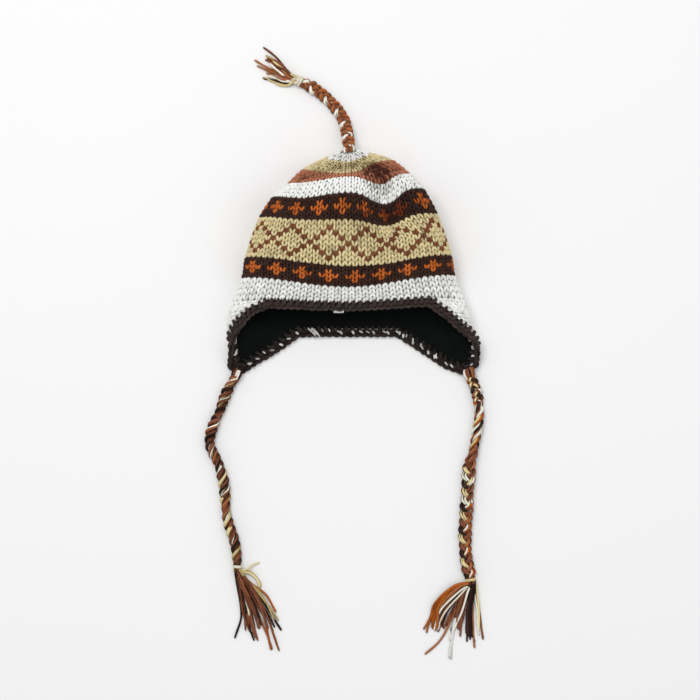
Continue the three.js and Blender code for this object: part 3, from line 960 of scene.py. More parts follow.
@dataclass
class StitchMaker:
    """Knit stitches: each is two legs of yarn that open upward from the one below."""

    radius: float = 1.75
    dip: float = 2.6
    low: float = -0.18
    high: float = 1.1
    inner: float = 0.075
    outer: float = 0.4
    widest_share: float = 0.21
    lean: float = 0.09
    # Painted shade where a stitch's legs dip under the face.
    cavity_shade: float = 0.34
    rings: int = 7
    wander: float = 0.02
    tilt: float = 0.07
    lift: float = 0.035
    sink: float = 0.12
    thickness_spread: float = 0.04
    tint: float = 0.56
    tint_spread: float = 0.12
    random: np.random.Generator = field(default_factory=lambda: np.random.default_rng(7))

    def knit(
        self, made: MeshMaker, yarn: Yarn, place: Place, rows: Array, columns: Array,
        counts: Array, widths: Array, shades: Array,
    ) -> None:
        """Adds stitches to a piece.

        Args:
            made: the piece.
            yarn: what they are made of.
            place: gives points and outward directions at a row, a share across and a depth.
            rows: each stitch's row.
            columns: its place along the row.
            counts: how many stitches its row has.
            widths: how wide it is.
            shades: how much painted shade darkens it, as deep in a fold.
        """
        n = len(rows)
        t = np.linspace(0, 1, self.rings)[None]
        rise = self.low + (self.high - self.low) * t
        spread = self.inner + (self.outer - self.inner) * t ** 0.9
        sunk = self.dip * np.abs(2 * t - 1) ** 2.4
        swell = 0.5 + 0.5 * np.sin(math.pi * t) ** 0.55
        thick = np.minimum(self.radius, widths * self.widest_share)[:, None]
        legs = []
        for side in (-1, 1):
            wander = self.random.normal(0, self.wander, (n, 1))
            tilt = self.random.normal(self.lean, self.tilt, (n, 1)) * (t - 0.5)
            u = 0.5 + side * spread + wander + tilt
            v = rise + self.random.normal(0, self.lift, (n, 1))
            depth = thick + sunk + np.abs(self.random.normal(0, self.sink, (n, 1)))
            points, normals = place(
                rows[:, None] + v, (columns[:, None] + u) / counts[:, None], depth)
            radii = thick * swell * self.random.normal(1, self.thickness_spread, (n, 1))
            own = np.clip(self.random.normal(self.tint, self.tint_spread, n), 0.15, 0.9)
            # Painted shade: darker where the legs dip in, and by the painted shade of the crown.
            tints = own[:, None] - shades[:, None] - self.cavity_shade * sunk / self.dip
            legs.append((points, radii, normals, tints))
        paths, radii, facing, tints = (np.concatenate(parts) for parts in zip(*legs))
        made.tubes(paths, radii, facing, yarn, tints)


@dataclass(frozen=True)
class Band:
    """A band of courses in one yarn, which may carry a repeated motif in another."""

    name: str
    first: int
    last: int
    yarn: Yarn
    slot: str = "patterned_knit"
    motif: Yarn | None = None
    chart: tuple[str, ...] = ()
    shift: int = 0

    def in_motif(self, row: int, column: int) -> bool:
        """Whether a stitch is in the motif's yarn.

        Args:
            row: the stitch's course.
            column: its place round the hat, 0 at the front's middle.

        Returns:
            True if it is.
        """
        line = row - self.first - 1
        if not 0 <= line < len(self.chart):
            return False
        pattern = self.chart[line]
        return pattern[(column + self.shift) % len(pattern)] == "X"


PLUS = (".X..", "XXX.", ".X..")
DIAMONDS = ("X.....", ".X...X", "..X.X.", "...X..", "..X.X.", ".X...X", "X.....")
BANDS = (
    Band("white_rim", 0, 3, Yarn.WHITE, "white_knit"),
    Band("brown_lower", 4, 8, Yarn.DARK, motif=Yarn.ORANGE, chart=PLUS),
    Band("tan_band", 9, 17, Yarn.TAN, motif=Yarn.RUST, chart=DIAMONDS, shift=3),
    Band("brown_upper", 18, 22, Yarn.DARK, motif=Yarn.ORANGE, chart=PLUS, shift=2),
    Band("white_upper", 23, 26, Yarn.WHITE, "white_knit"),
    Band("brick_band", 27, 30, Yarn.BRICK),
    Band("tan_top", 31, 35, Yarn.TAN),
    Band("white_top", 36, 38, Yarn.WHITE, "white_knit"),
)
# How many stitches a course has, from each of these courses on.
STITCHES_ROUND = {
    0: 72, 23: 64, 25: 56, 27: 48, 29: 40, 31: 36, 33: 28, 35: 20, 36: 16, 37: 12, 38: 8,
}


def stitches_in(row: int) -> int:
    """How many stitches a course has."""
    return min(count for first, count in STITCHES_ROUND.items() if row >= first)


@dataclass(frozen=True)
class Patch:
    """A soft-edged stretch round the crown, by its middle and half its width in turns."""

    turn: float
    width: float

    def share(self, turns: Array) -> Array:
        """How much of the patch there is at places round the hat."""
        nearest = (turns - self.turn + 0.5) % 1.0 - 0.5
        return np.exp(-0.5 * (nearest / self.width) ** 2)


@dataclass(frozen=True)
class Sag(Patch):
    """Where the knitting is drawn out of place, because it folds there."""

    courses: tuple[float, ...]
    depths: tuple[float, ...]

    def at(self, course: Array, turn: Array) -> Array:
        """How far the knitting is drawn.

        Args:
            course: courses.
            turn: places round the hat.

        Returns:
            The shift at each, in courses or in turns.
        """
        places, values = np.array(self.courses), np.array(self.depths)
        inside = np.clip(course, places[0], places[-1])
        depth = smooth_through(values, places, inside.ravel()).reshape(inside.shape)
        return depth * self.share(turn)


@dataclass(frozen=True)
class PaintedShade(Patch):
    """A part of the crown's front with painted shade on its stitches, or painted light below 0."""

    course: float
    length: float
    amount: float

    def at(self, rows: Array, turns: Array) -> Array:
        """What stitches lose of their tints.

        Args:
            rows: their courses.
            turns: their places round the hat.

        Returns:
            The loss of each.
        """
        nearest = (rows - self.course) / self.length
        return self.amount * self.share(turns) * np.exp(-0.5 * nearest ** 2)


# Painted shade over the fold and other darker parts of the front, painted light where the amount is
# below 0.
PAINTED_SHADES = (
    PaintedShade(0.105, 0.036, 29.0, 1.8, 0.85), PaintedShade(-0.125, 0.04, 29.0, 2.2, 0.34),
    PaintedShade(0.1, 0.022, 25.0, 1.6, 0.24), PaintedShade(0.125, 0.04, 20.0, 2.0, 0.42),
    PaintedShade(0.0, 0.05, 29.0, 2.0, -0.3), PaintedShade(0.01, 0.09, 33.2, 1.8, 0.36),
    PaintedShade(-0.05, 0.1, 25.0, 1.6, -0.34), PaintedShade(0.0, 0.3, 37.5, 1.2, -0.24),
    PaintedShade(-0.02, 0.05, 14.0, 3.0, -0.08), PaintedShade(0.03, 0.03, 15.5, 2.5, 0.22),
)
SAGS = (
    Sag(0.088, 0.034, (4, 9, 14, 18, 23, 27, 31, 35), (0, 0.3, 0.9, 1.7, 2.7, 2.8, -0.6, 0)),
    Sag(0.15, 0.05, (27, 31, 35), (0, -1.2, 0)),
    Sag(0.2, 0.06, (33, 36, 38.5), (0, 0.9, 0)),
    Sag(-0.2, 0.06, (33, 36, 38.5), (0, 0.9, 0)),
    Sag(-0.115, 0.05, (9, 18, 23, 27, 31, 35), (0, 0.5, 1.1, 0.8, 0.2, 0)),
    Sag(0.0, 0.12, (0, 4, 12, 20, 25), (0.0, 0.35, 0.4, 0.2, 0)),
)
# Stitches to the right of the fold are pulled toward it by parts of a turn.
PULL = Sag(0.155, 0.045, (14, 18, 22, 25, 28), (0, 0.028, 0.034, 0.02, 0))


@dataclass
class KnitCrown:
    """The crown's knitting: stitches over a closed web of the same yarns."""

    skin: CrownSkin
    maker: StitchMaker
    web_depth: float = 2.9
    web_foot: float = 4.9
    slim_share: float = 0.3
    dulled: float = 0.16
    # How much more of the fold's painted shade the orange crosses take.
    fold_shade_gain: float = 2.6

    def sagging(self, course: Array, turn: Array, depth: object = 0.0) -> tuple[Array, Array]:
        """Points under the face where the courses really lie.

        Args:
            course: courses.
            turn: places round the hat.
            depth: how far under the face.

        Returns:
            The points, and the outward directions there.
        """
        course, turn = np.broadcast_arrays(course, turn)
        turn = turn - PULL.at(course, turn)
        drop = sum(sag.at(course, turn) for sag in SAGS)
        return self.skin.at(np.clip(course - drop, -0.3, LAST_COURSE - 0.05), turn, depth)

    def build(self) -> None:
        """Builds each band's stitches and the web behind them."""
        for band in BANDS:
            self.stitches(band)
        self.web()

    def stitches(self, band: Band) -> None:
        """Knits one band, and its motif as a piece of its own.

        Args:
            band: the band.
        """
        courses = range(band.first, band.last + 1)
        rows = np.repeat(courses, [stitches_in(row) for row in courses])
        columns = np.concatenate([np.arange(stitches_in(row)) for row in courses])
        counts = np.array([stitches_in(row) for row in rows])
        rounds = np.linalg.norm(self.skin.grid - np.roll(self.skin.grid, 1, 1), axis=-1).sum(1)
        widths = rounds[((rows + 0.5) / self.skin.STEP).astype(int)] / counts
        chosen = np.array([band.in_motif(r, c) for r, c in zip(rows, columns)])
        for yarn, mask, kind in ((band.yarn, ~chosen, "knit_"), (band.motif, chosen, "motif_")):
            if not mask.any():
                continue
            made = MeshMaker(kind + band.name)
            # Painted shade, and painted light below 0, for each stitch.
            loss = sum(shade.at(rows, columns / counts) for shade in PAINTED_SHADES)
            if yarn is Yarn.ORANGE:
                # Some of the crosses are duller than others at random, and those in the fold take the
                # fold's painted shade most.
                dulled = np.abs(self.maker.random.normal(0, self.dulled, STITCHES_ROUND[0]))
                cross = (columns + band.shift) // len(band.chart[0])
                loss = self.fold_shade_gain * loss + dulled[cross]
            # A stitch's middle is on the front's middle line where its column is 0.
            self.maker.knit(made, yarn, self.sagging, rows[mask], columns[mask] - 0.5,
                            counts[mask], widths[mask], loss[mask])
            made.make(band.slot, "knit_crown")

    def depth_at(self, courses: Array, depth: float) -> Array:
        """A depth that gets less where the crown closes in on itself.

        Args:
            courses: courses.
            depth: the depth where there is room.

        Returns:
            The depth at each course.
        """
        rows = self.skin.grid[(courses / self.skin.STEP).astype(int)]
        slim = (rows.max(1) - rows.min(1))[:, [0, 2]].min(1) / 2
        return np.minimum(depth, slim * self.slim_share)

    def web(self) -> None:
        """The web behind the stitches, which closes the gaps between their legs, dark as painted
        shade.
        """
        made = MeshMaker("knit_web")
        turns = np.arange(self.skin.TURNS // 2) / (self.skin.TURNS // 2)
        for band in BANDS:
            stop = band.last + 1 if band.last < LAST_COURSE - 1 else LAST_COURSE - 0.25
            courses = np.minimum(np.arange(band.first, stop + 0.01, 0.5), stop)
            outer, inner = (
                self.sagging(courses[:, None], turns[None], self.depth_at(courses, depth)[:, None])[0]
                for depth in (self.web_depth, self.web_foot))
            # Painted shade: the outer layer is the yarn's darkest tint.
            made.sleeve(outer, inner, band.yarn, 0.0, WEB_SHADE_TINT)
        made.make("patterned_knit", "knit_crown")


@dataclass
class KnitFlap:
    """An ear flap's white knitting over its closed web."""

    skin: FlapSkin
    maker: StitchMaker
    name: str
    stitch_width: float = 7.7
    stitch_height: float = 6.1
    web_depth: float = 1.9
    web_foot: float = 3.7
    web_rows: int = 30
    web_columns: int = 40

    def build(self) -> None:
        """Builds the flap's stitches and web."""
        total = int(round(self.skin.length / self.stitch_height))
        across = [self.skin.width((row + 0.5) / total) for row in range(total)]
        each = [max(2, int(round(width / self.stitch_width))) for width in across]
        rows = np.repeat(np.arange(total), each)
        columns = np.concatenate([np.arange(float(count)) for count in each])
        counts = np.repeat(each, each)

        def place(row: Array, share: Array, depth: object) -> tuple[Array, Array]:
            """Points at rows that count up from the tip."""
            return self.skin.at(1 - row / total, share, depth)

        made = MeshMaker("knit_" + self.name)
        self.maker.knit(made, Yarn.WHITE, place, total - 1 - rows, columns, counts,
                        np.repeat(across, each) / counts, np.zeros(len(rows)))
        down = np.linspace(0, 1, self.web_rows)[:, None]
        share = np.linspace(0, 1, self.web_columns)[None]
        outer, inner = (self.skin.at(down, share, d)[0] for d in (self.web_depth, self.web_foot))
        # Painted shade: the flap's web is dark between the legs too.
        made.slab(outer, inner, Yarn.WHITE, self.skin.side > 0, WEB_SHADE_TINT)
        made.make("white_knit", self.name)


@dataclass
class Lining:
    """The fleece that lines the crown and both flaps."""

    crown: CrownSkin
    flaps: tuple[FlapSkin, FlapSkin]
    last_course: float = 36.0
    course_step: float = 0.5
    turns: int = 192
    flap_rows: int = 48
    flap_columns: int = 72
    nap: float = 0.175
    flap_nap: float = 0.14
    random: np.random.Generator = field(default_factory=lambda: np.random.default_rng(3))

    def build(self) -> None:
        """Builds the lining as one piece."""
        made = MeshMaker("fleece_lining")
        near, far = KNIT_WALL + CLEARANCE, KNIT_WALL + CLEARANCE + LINING_WALL
        courses = np.arange(0, self.last_course + 0.01, self.course_step)[:, None]
        turns = (np.arange(self.turns) / self.turns)[None]
        made.sleeve(*(
            self.crown.at(courses, turns, depth + self.rough(self.nap, len(courses), self.turns))[0]
            for depth in (near, far)), Yarn.FLEECE)
        down = np.linspace(0, 1, self.flap_rows)[:, None]
        share = np.linspace(0, 1, self.flap_columns)[None]
        for skin in self.flaps:
            rough = self.rough(self.flap_nap, self.flap_rows, self.flap_columns)
            outer = skin.at(down, share, near * FLAP_WALL_SHARE)[0]
            inner = skin.at(down, share, far * FLAP_WALL_SHARE + rough)[0]
            made.slab(outer, inner, Yarn.FLEECE, skin.side > 0, 0.5)
        made.make("fleece", "lining")

    def rough(self, nap: float, rows: int, columns: int) -> Array:
        """How far the nap moves each point in or out."""
        return self.random.normal(0, nap, (rows, columns))


class Edge:
    """The hat's whole edge as one closed run: front rim, right flap, back rim, left flap."""

    STEP = 1.0
    RIM_HEIGHT = 0.42

    def __init__(self, crown: CrownSkin, right: FlapSkin, left: FlapSkin) -> None:
        """Lays out the run.

        Args:
            crown: the crown's face.
            right: the right flap's face.
            left: the left flap's face.
        """
        down, across = np.linspace(0, 1, 60), np.linspace(0, 1, 24)
        stretches = [
            crown.at(0.0, np.linspace(-FLAP_FIRST, FLAP_FIRST, 120)),
            right.at(down, 0.0), right.at(1.0, across), right.at(1 - down, 1.0),
            crown.at(0.0, np.linspace(FLAP_LAST, 1 - FLAP_LAST, 90)),
            left.at(down, 1.0), left.at(1.0, 1 - across), left.at(1 - down, 0.0),
        ]
        points, normals = self.even(*(np.concatenate(parts) for parts in zip(*stretches)))
        self.points = self.softened(points, 3.0)
        along = unit(np.roll(self.points, -1, 0) - np.roll(self.points, 1, 0))
        self.up = square_to(unit(self.softened(normals, 5.0)), along)
        self.out = np.cross(along, self.up)
        self.length = self.STEP * len(points)

    def even(self, points: Array, normals: Array) -> tuple[Array, Array]:
        """The run in even steps.

        Args:
            points: its points.
            normals: the outward directions there.

        Returns:
            Both, in even steps.
        """
        points, normals = np.vstack([points, points[:1]]), np.vstack([normals, normals[:1]])
        reach = reach_along(points)
        keep = np.concatenate([[True], np.diff(reach) > 1e-6])
        wanted = np.arange(0, reach[-1] - 0.5 * self.STEP, self.STEP)
        return tuple(read_line(a[keep], reach[keep], wanted) for a in (points, normals))

    @staticmethod
    def softened(values: Array, width: float) -> Array:
        """The values with short bends rounded off, round the closed run.

        Args:
            values: one row a step.
            width: how many steps a bend is spread over.

        Returns:
            The rounded values.
        """
        reach = int(4 * width)
        weights = np.exp(-0.5 * (np.arange(-reach, reach + 1) / width) ** 2)
        weights /= weights.sum()
        total = np.zeros_like(values)
        for shift, weight in zip(range(-reach, reach + 1), weights):
            total += weight * np.roll(values, -shift, 0)
        return total

    def at(self, place: Array, out: object, up: object) -> tuple[Array, Array]:
        """Points beside the edge.

        Args:
            place: how far along the run.
            out: how far out from it.
            up: how far over the outer face.

        Returns:
            The points, and the outward directions there.
        """
        place, out, up = np.broadcast_arrays(place, out, up)
        spot = (place / self.STEP) % len(self.points)
        i = np.floor(spot).astype(int) % len(self.points)
        j = (i + 1) % len(self.points)
        g = (spot - np.floor(spot))[..., None]
        points, raised, outward = (between(a, i, j, g) for a in (self.points, self.up, self.out))
        return points + outward * out[..., None] + raised * up[..., None], raised

    def past_front(self) -> tuple[float, float]:
        """The stretch of the edge that isn't the front rim.

        Returns:
            Its start and end along the edge.
        """
        front = np.nonzero(self.points[:, 2] > self.RIM_HEIGHT * HAT_DEPTH)[0]
        half = len(self.points) // 2
        return float(front[front < half].max()), float(front[front > half].min())


@dataclass
class CrochetTrim:
    """The crocheted trim round the whole edge, with the thread that sews it on."""

    edge: Edge
    width: float = TRIM_WIDTH
    thickness: float = 7.0
    pitch: float = 8.2
    core_inset: float = 1.2
    core_step: float = 1.5
    core_sides: int = 12
    core_shade_tint: float = 0.15
    ripple: float = 0.05
    uneven: float = 0.35
    wander: float = 0.18
    rings: int = 7
    loose_ends: Triple = (-45.6, -84.6, 3)
    random: np.random.Generator = field(default_factory=lambda: np.random.default_rng(11))

    def build(self) -> None:
        """Builds the trim and the whip stitches."""
        self.crochet()
        self.whip_stitches()

    def crochet(self) -> None:
        """The trim's core, its posts over the rim and the chain along its outer side."""
        made = MeshMaker("crochet_trim")
        steps = np.arange(0, self.edge.length, self.core_step)[:, None]
        angles = (2 * math.pi * np.arange(self.core_sides) / self.core_sides)[None]
        ripple = 1 + self.ripple * np.sin(2 * math.pi * steps / self.pitch)
        middle, half, deep = CLEARANCE + self.width / 2, self.width / 2, self.thickness
        across = middle + np.cos(angles) * (half - self.core_inset) * ripple
        rise = -deep / 2 + np.sin(angles) * (deep / 2 - self.core_inset) * ripple
        ring = self.edge.at(steps, across, rise)[0]
        # Painted shade: the core is dark, for the shade among the loops.
        made.grid(np.concatenate([ring, ring[:1]]), Yarn.TRIM, True, True, self.core_shade_tint)
        count = int(round(self.edge.length / self.pitch))
        spots = np.arange(count) * self.edge.length / count
        spots = spots + self.random.normal(0, self.uneven, count)
        outer = middle + half
        chains = [
            (0.0, 1.9, ((-self.pitch * 0.62, outer - 3.6, rise_from - 0.2),
                        (-self.pitch * 0.2, outer - 2.2 + 0.5 * lean, rise_from + 0.5 * lean),
                        (self.pitch * 0.2, outer - 1.9, rise_from + 0.9 * lean),
                        (self.pitch * 0.62, outer - 3.4, rise_from + 0.1)))
            for lean, rise_from in ((1.0, -1.6), (-1.0, -4.0))
        ]
        for shift, radius, hooks in (
            # Loops on the outer face, which bite into the knitting as a row of scallops.
            (0.0, 2.4, ((-1.0, 5.6, -1.2), (-0.5, 2.6, 0.4), (0.2, -0.6, 0.8), (0.6, -2.9, -0.6))),
            (0.0, 1.8, ((-2.0, 6.4, -1.6), (-0.9, 4.8, -0.2), (0.3, 3.0, 0.2), (1.2, 1.4, -0.6))),
            (0.45, 1.7, ((-2.0, 7.4, -2.2), (-0.8, 5.8, -0.7), (0.6, 4.2, -0.3), (1.6, 2.6, -1.2))),
            # Their other ends on the lining's side.
            (0.5, 1.8, ((-2.2, 3.6, 1.9 - deep), (-0.4, 1.5, 0.6 - deep), (1.4, -1.2, 0.3 - deep),
                        (2.6, -3.2, 1.6 - deep))),
            # The chain that closes the outer side, seen as a row of leaning pairs.
            *chains,
        ):
            self.strokes(made, spots + self.pitch * shift, hooks, radius)
        made.make("crochet", "edge_trim")

    def strokes(
        self, made: MeshMaker, spots: Array, hooks: Sequence[Triple], radius: float,
        yarn: Yarn = Yarn.TRIM,
    ) -> None:
        """Adds short lengths of yarn, one at each spot along the edge.

        Args:
            made: the piece.
            spots: places along the edge.
            hooks: along, out and up at points that each length passes.
            radius: its radius.
            yarn: its yarn.
        """
        t = np.linspace(0, 1, self.rings)
        line = smooth_through(np.array(hooks, dtype=float), np.linspace(0, 1, len(hooks)), t)
        offset = line[None] + self.random.normal(0, self.wander, (len(spots), 1, 3))
        points, raised = self.edge.at(spots[:, None] + offset[..., 0], offset[..., 1], offset[..., 2])
        swell = 0.55 + 0.45 * np.sin(math.pi * t) ** 0.5
        radii = radius * swell[None] * self.random.normal(1, 0.05, (len(spots), 1))
        tints = np.clip(self.random.normal(0.5, 0.14, len(spots)), 0.1, 0.9)
        made.tubes(above(points, radius * 0.8), radii, raised, yarn, tints)

    def whip_stitches(self) -> None:
        """Light thread that shows along the flaps' and the back rim's inner side."""
        made = MeshMaker("whip_stitches")
        deep = -self.thickness
        for chance, radius, hooks in (
            (0.6, 1.4, ((-1.2, 6.6, 1.2), (-0.7, 5.4, -0.6), (0.4, 4.0, -0.8), (1.0, 3.0, 1.0))),
            (0.45, 1.2, ((-2.4, 5.4, 1.2), (-1.0, 4.6, -0.7), (0.8, 3.6, -0.7), (1.8, 3.2, 1.2))),
            (0.3, 1.0, ((-0.8, 4.2, 1.0), (-0.3, 2.8, -0.6), (0.4, 1.4, -0.6), (0.9, 0.4, 1.0))),
        ):
            spots = np.arange(*self.edge.past_front(), self.pitch * 1.4)
            spots = spots + self.random.normal(0, 2.0, len(spots))
            kept = spots[self.random.random(len(spots)) < chance]
            lowered = [(along, out, deep + up) for along, out, up in hooks]
            self.strokes(made, kept, lowered, radius, Yarn.WHITE)
        # Two loose ends hang over the back rim.
        gaps = np.linalg.norm(self.edge.points - self.loose_ends, axis=1)
        loose = np.array([0.0, 4.2]) + np.argmin(gaps) * self.edge.STEP
        self.strokes(made, loose, [(5, -1.0, deep + 0.6), (2.5, 1.5, deep - 1.4),
                                   (-1.5, 5.0, deep - 1.8), (-5, 9.6, deep - 0.6)],
                     1.3, Yarn.PLAIT_GREY)
        made.make("thread")


@dataclass
class Label:
    """A bare tab of woven tape under the front rim."""

    crown: CrownSkin
    width: float = 12.2
    length: float = 17.0
    thickness: float = 0.8
    shown: float = 5.8
    place: float = -11.5
    bow: float = 0.5
    bow_foot: float = -0.35
    rounding: float = 0.35
    columns: int = 11
    rows: int = 15

    def build(self) -> None:
        """Builds the tab, slightly bowed, with its corners rounded off."""
        points, normals = self.crown.at(0.0, np.array([0.0]))
        up = normals[0]
        along = np.array([1.0, 0, 0])
        out = unit(np.cross(along, up))
        wall = KNIT_WALL + CLEARANCE + LINING_WALL
        centre = (points[0] - up * (wall + CLEARANCE + self.thickness / 2) + along * self.place
                  + out * (TRIM_WIDTH + self.shown - self.length / 2))
        x, y = np.meshgrid(*(np.linspace(-0.5, 0.5, count) for count in (self.columns, self.rows)))
        rounded = 1 - self.rounding * (np.abs(2 * x) ** 8 + np.abs(2 * y) ** 8)
        lower, upper = (
            centre + along * (x * self.width)[..., None] - out * (y * self.length)[..., None]
            + up * (self.bow * np.cos(math.pi * x) + self.bow_foot
                    + side * self.thickness * np.clip(rounded, 0.3, 1))[..., None]
            for side in (-0.5, 0.5))
        made = MeshMaker("label_tab_cloth")
        made.slab(upper, lower, Yarn.LABEL, False, 0.5)
        made.make("label", "label_tab")


PLAIT_YARNS = {
    "R": Yarn.PLAIT_RUST, "B": Yarn.PLAIT_BROWN, "D": Yarn.PLAIT_DARK, "C": Yarn.PLAIT_CREAM,
    "K": Yarn.PLAIT_KHAKI, "O": Yarn.PLAIT_ORANGE, "G": Yarn.PLAIT_GREY,
}


@dataclass(frozen=True)
class Plait:
    """A three-strand plait of loose yarns, with its tie and tassel.

    Sizes, bumps, rolls, twists and colours each start with a place along it, from 0 to 1. Sizes
    are its width, its depth and a strand's radius. A bump is the distance between two crossings,
    a roll turns the plait on its line by degrees, and a twist goes from 0 for a flat plait to 1
    for a rope. Colours are the letters of each strand's yarns on one side and on the other. A
    guide is a yarn's letter, how many yarns follow it, and points past the tie on their way.
    """

    name: str
    route: tuple[Triple, ...]
    width: float
    sizes: tuple[tuple[float, float, float, float], ...]
    bumps: tuple[tuple[float, float], ...]
    rolls: tuple[tuple[float, float], ...]
    colours: tuple[tuple[float, str, str], ...]
    tie_yarn: str
    tie_turns: int
    tie_length: float
    guides: tuple[tuple[str, int, tuple[Triple, ...]], ...]
    tail: tuple[Triple, ...]
    hitch_yarns: str
    held: Triple
    arch: float = 3.0
    yarn_radius: float = 1.2
    tassel_radius: float = 1.35
    overrun: float = 1.0
    twists: tuple[tuple[float, float], ...] = ((0, 0), (1, 0))
    laid: bool = False
    uneven: float = 0.09
    # Painted shade for yarns deep in the plait.
    cavity_shade: float = 0.5
    tie_radius: float = 1.1
    hold_share: float = 0.36
    raised: float = 9.0
    hitch_shares: tuple[float, ...] = (0.36, 0.42, 0.3, 0.16)
    scatter: Triple = (2.2, 2.2, 1.2)
    tassel_sway: float = 0.7
    seed: int = 1

    def build(self) -> None:
        line = smooth_line(self.route, 1.0)
        # The line runs on straight until it meets the tie.
        onward = np.arange(1.0, self.overrun + 0.5)[:, None]
        line = np.vstack([line, line[-1] + unit(line[-1] - line[-2]) * onward])
        piece, centre = self.plait(line)
        others = [self.hitch(line), self.tie(line), self.tassel(line)]
        reach = float(np.linalg.norm(np.diff(centre, axis=0), axis=1).sum())
        [tuple(p) for p in centre * MM]
        LOG.info("plait_%s: %.0f mm long", self.name, reach)

    def plait(self, line: Array) -> tuple[bpy.types.Object, Array]:
        """The plait itself.

        Args:
            line: the route in even steps.

        Returns:
            The piece and the line that it follows.
        """
        made = MeshMaker("plait_" + self.name)
        share = np.linspace(0, 1, len(line))
        step = np.linalg.norm(np.diff(line, axis=0), axis=1).mean()
        bumps = np.interp(share, *np.array(self.bumps).T)
        phase = np.cumsum(2 * math.pi * step / (3 * bumps))
        roll = np.radians(np.interp(share, *np.array(self.rolls).T))
        sizes = np.array(self.sizes).T
        broad, deep, thick = (np.interp(share, sizes[0], row) for row in sizes[1:])
        ring = thick - self.yarn_radius
        half_up = np.sqrt((broad / 2 * np.sin(roll)) ** 2 + (deep / 2 * np.cos(roll)) ** 2)
        # The plait lies on the surface, except where it rises over the hat.
        centre = line.copy()
        centre[:, 2] = np.where(line[:, 2] > self.raised, line[:, 2],
                                np.minimum(line[:, 2], half_up + 0.15))
        _, side, over = line_frames(centre)
        wide = side * np.cos(roll)[:, None] + over * np.sin(roll)[:, None]
        tall = over * np.cos(roll)[:, None] - side * np.sin(roll)[:, None]
        taper = np.clip((1 - share) * len(line) / 6, 0.62, 1) * np.clip(
            share * len(line) / 5 + 0.7, 0.7, 1)
        random = np.random.default_rng(self.seed)
        rope = np.interp(share, *np.array(self.twists).T)
        swing = 1 + self.uneven * smooth_through(
            random.normal(0, 1, (24, 2)), np.linspace(0, 1, 24), share)
        sway, heave = (broad / 2 - thick) * swing[:, 0], (deep / 2 - thick) * swing[:, 1]
        starts = [row[0] for row in self.colours]
        for k in range(3):
            angle = phase + 2 * math.pi * k / 3
            a = sway * np.sin(angle) * taper
            b = heave * taper * (rope * np.cos(angle) - (1 - rope) * np.sin(2 * angle))
            strand = centre + wide * a[:, None] + tall * b[:, None]
            which = np.searchsorted(starts, share + k * 0.01, side="right") - 1
            shown = [self.colours[n][1 + int(near)].split()[k] for n, near in zip(which, a >= 0)]
            count = len(self.colours[0][1].split()[k])
            for i in range(count):
                # The yarns of a strand hardly turn, unless they are laid as a rope's are, so
                # that the same ones face out.
                turn = 2 * math.pi * i / count + 0.3 * np.sin(share * 9 + random.random() * 6)
                if self.laid:
                    turn = turn + math.pi / 2 - angle
                path = above(strand + wide * (np.cos(turn) * ring)[:, None]
                             + tall * (np.sin(turn) * ring)[:, None], self.yarn_radius)
                radii = self.yarn_radius * (1 + 0.05 * np.sin(share * 60 + i))
                # Painted shade: yarns that lie deeper in the plait are darker.
                sunk = np.clip(0.75 - np.sum((path - centre) * over, -1) / half_up, 0, 1)
                tint = random.uniform(0.4, 0.75) - self.cavity_shade * sunk
                self.changing(made, path, radii, [group[i] for group in shown], tint)
        return made.make("plait", "braid_" + self.name), centre

    @staticmethod
    def changing(
        made: MeshMaker, path: Array, radii: Array, letters: Sequence[str], tint: Array,
    ) -> None:
        """Adds a yarn's line, in the colours of the yarns that show along it.

        Args:
            made: the plait's piece.
            path: the line.
            radii: its radius along the line.
            letters: its yarn along the line.
            tint: how light it is along the line.
        """
        changes = [i for i in range(1, len(letters)) if letters[i] != letters[i - 1]]
        cuts = [0, *changes, len(path) - 1]
        for first, last in zip(cuts[:-1], cuts[1:]):
            if last - first >= 2:
                part = slice(first, last + 1)
                yarn = PLAIT_YARNS[letters[first]]
                made.strand(path[part], radii[part], yarn, tint[part], 0.3)

    def hitch(self, line: Array) -> bpy.types.Object:
        """The yarns' loops that hold the plait to the hat's edge.

        Args:
            line: the route in even steps.

        Returns:
            The piece.
        """
        made = MeshMaker("hitch_" + self.name)
        start, wide = line[0], line_frames(line)[1][0]
        random = np.random.default_rng(self.seed + 40)
        held = np.array(self.held)
        for i, letter in enumerate(self.hitch_yarns):
            spread = (i / (len(self.hitch_yarns) - 1) - 0.5) * 2
            beside = [wide * spread * self.width * part for part in self.hitch_shares]
            path = smooth_line([
                held + beside[0] + random.normal(0, 0.4, 3),
                (held * 0.5 + start * 0.5) + beside[1] + [0, 0, self.arch],
                start + beside[2] + (start - held) * 0.55 + [0, 0, 1.2],
                start + beside[3] + (start - held) + [0, 0, -1.0],
            ], 1.2)
            made.strand(above(path, self.yarn_radius), self.yarn_radius * 1.1,
                        PLAIT_YARNS[letter], random.uniform(0.2, 0.6), 0.4)
        return made.make("plait", "braid_" + self.name)

    def tie(self, line: Array) -> bpy.types.Object:
        """The yarn that is wound round the plait's end, with its tail.

        Args:
            line: the route in even steps.

        Returns:
            The piece.
        """
        made = MeshMaker("tie_wrap_" + self.name)
        end, (along, side, over) = line[-1], (way[-1] for way in line_frames(line))
        t = np.linspace(0, 1, 26 * self.tie_turns)
        angle = 2 * math.pi * self.tie_turns * t
        hold, r = self.width * self.hold_share, self.tie_radius
        flat = min(hold, end[2] - 0.9)
        path = above(end + along * (0.6 + (self.tie_length - 1.2) * t)[:, None]
                     + side * (hold * np.cos(angle))[:, None]
                     + over * (flat * np.sin(angle))[:, None], r)
        made.strand(path, r, PLAIT_YARNS[self.tie_yarn], 0.5, start=along)
        if self.tail:
            tail = above(smooth_line((path[-1], *self.tail), 1.5), r)
            made.strand(tail, np.linspace(r, r * 0.8, len(tail)), Yarn.PLAIT_KHAKI, 0.5)
        return made.make("thread", "tie_" + self.name)

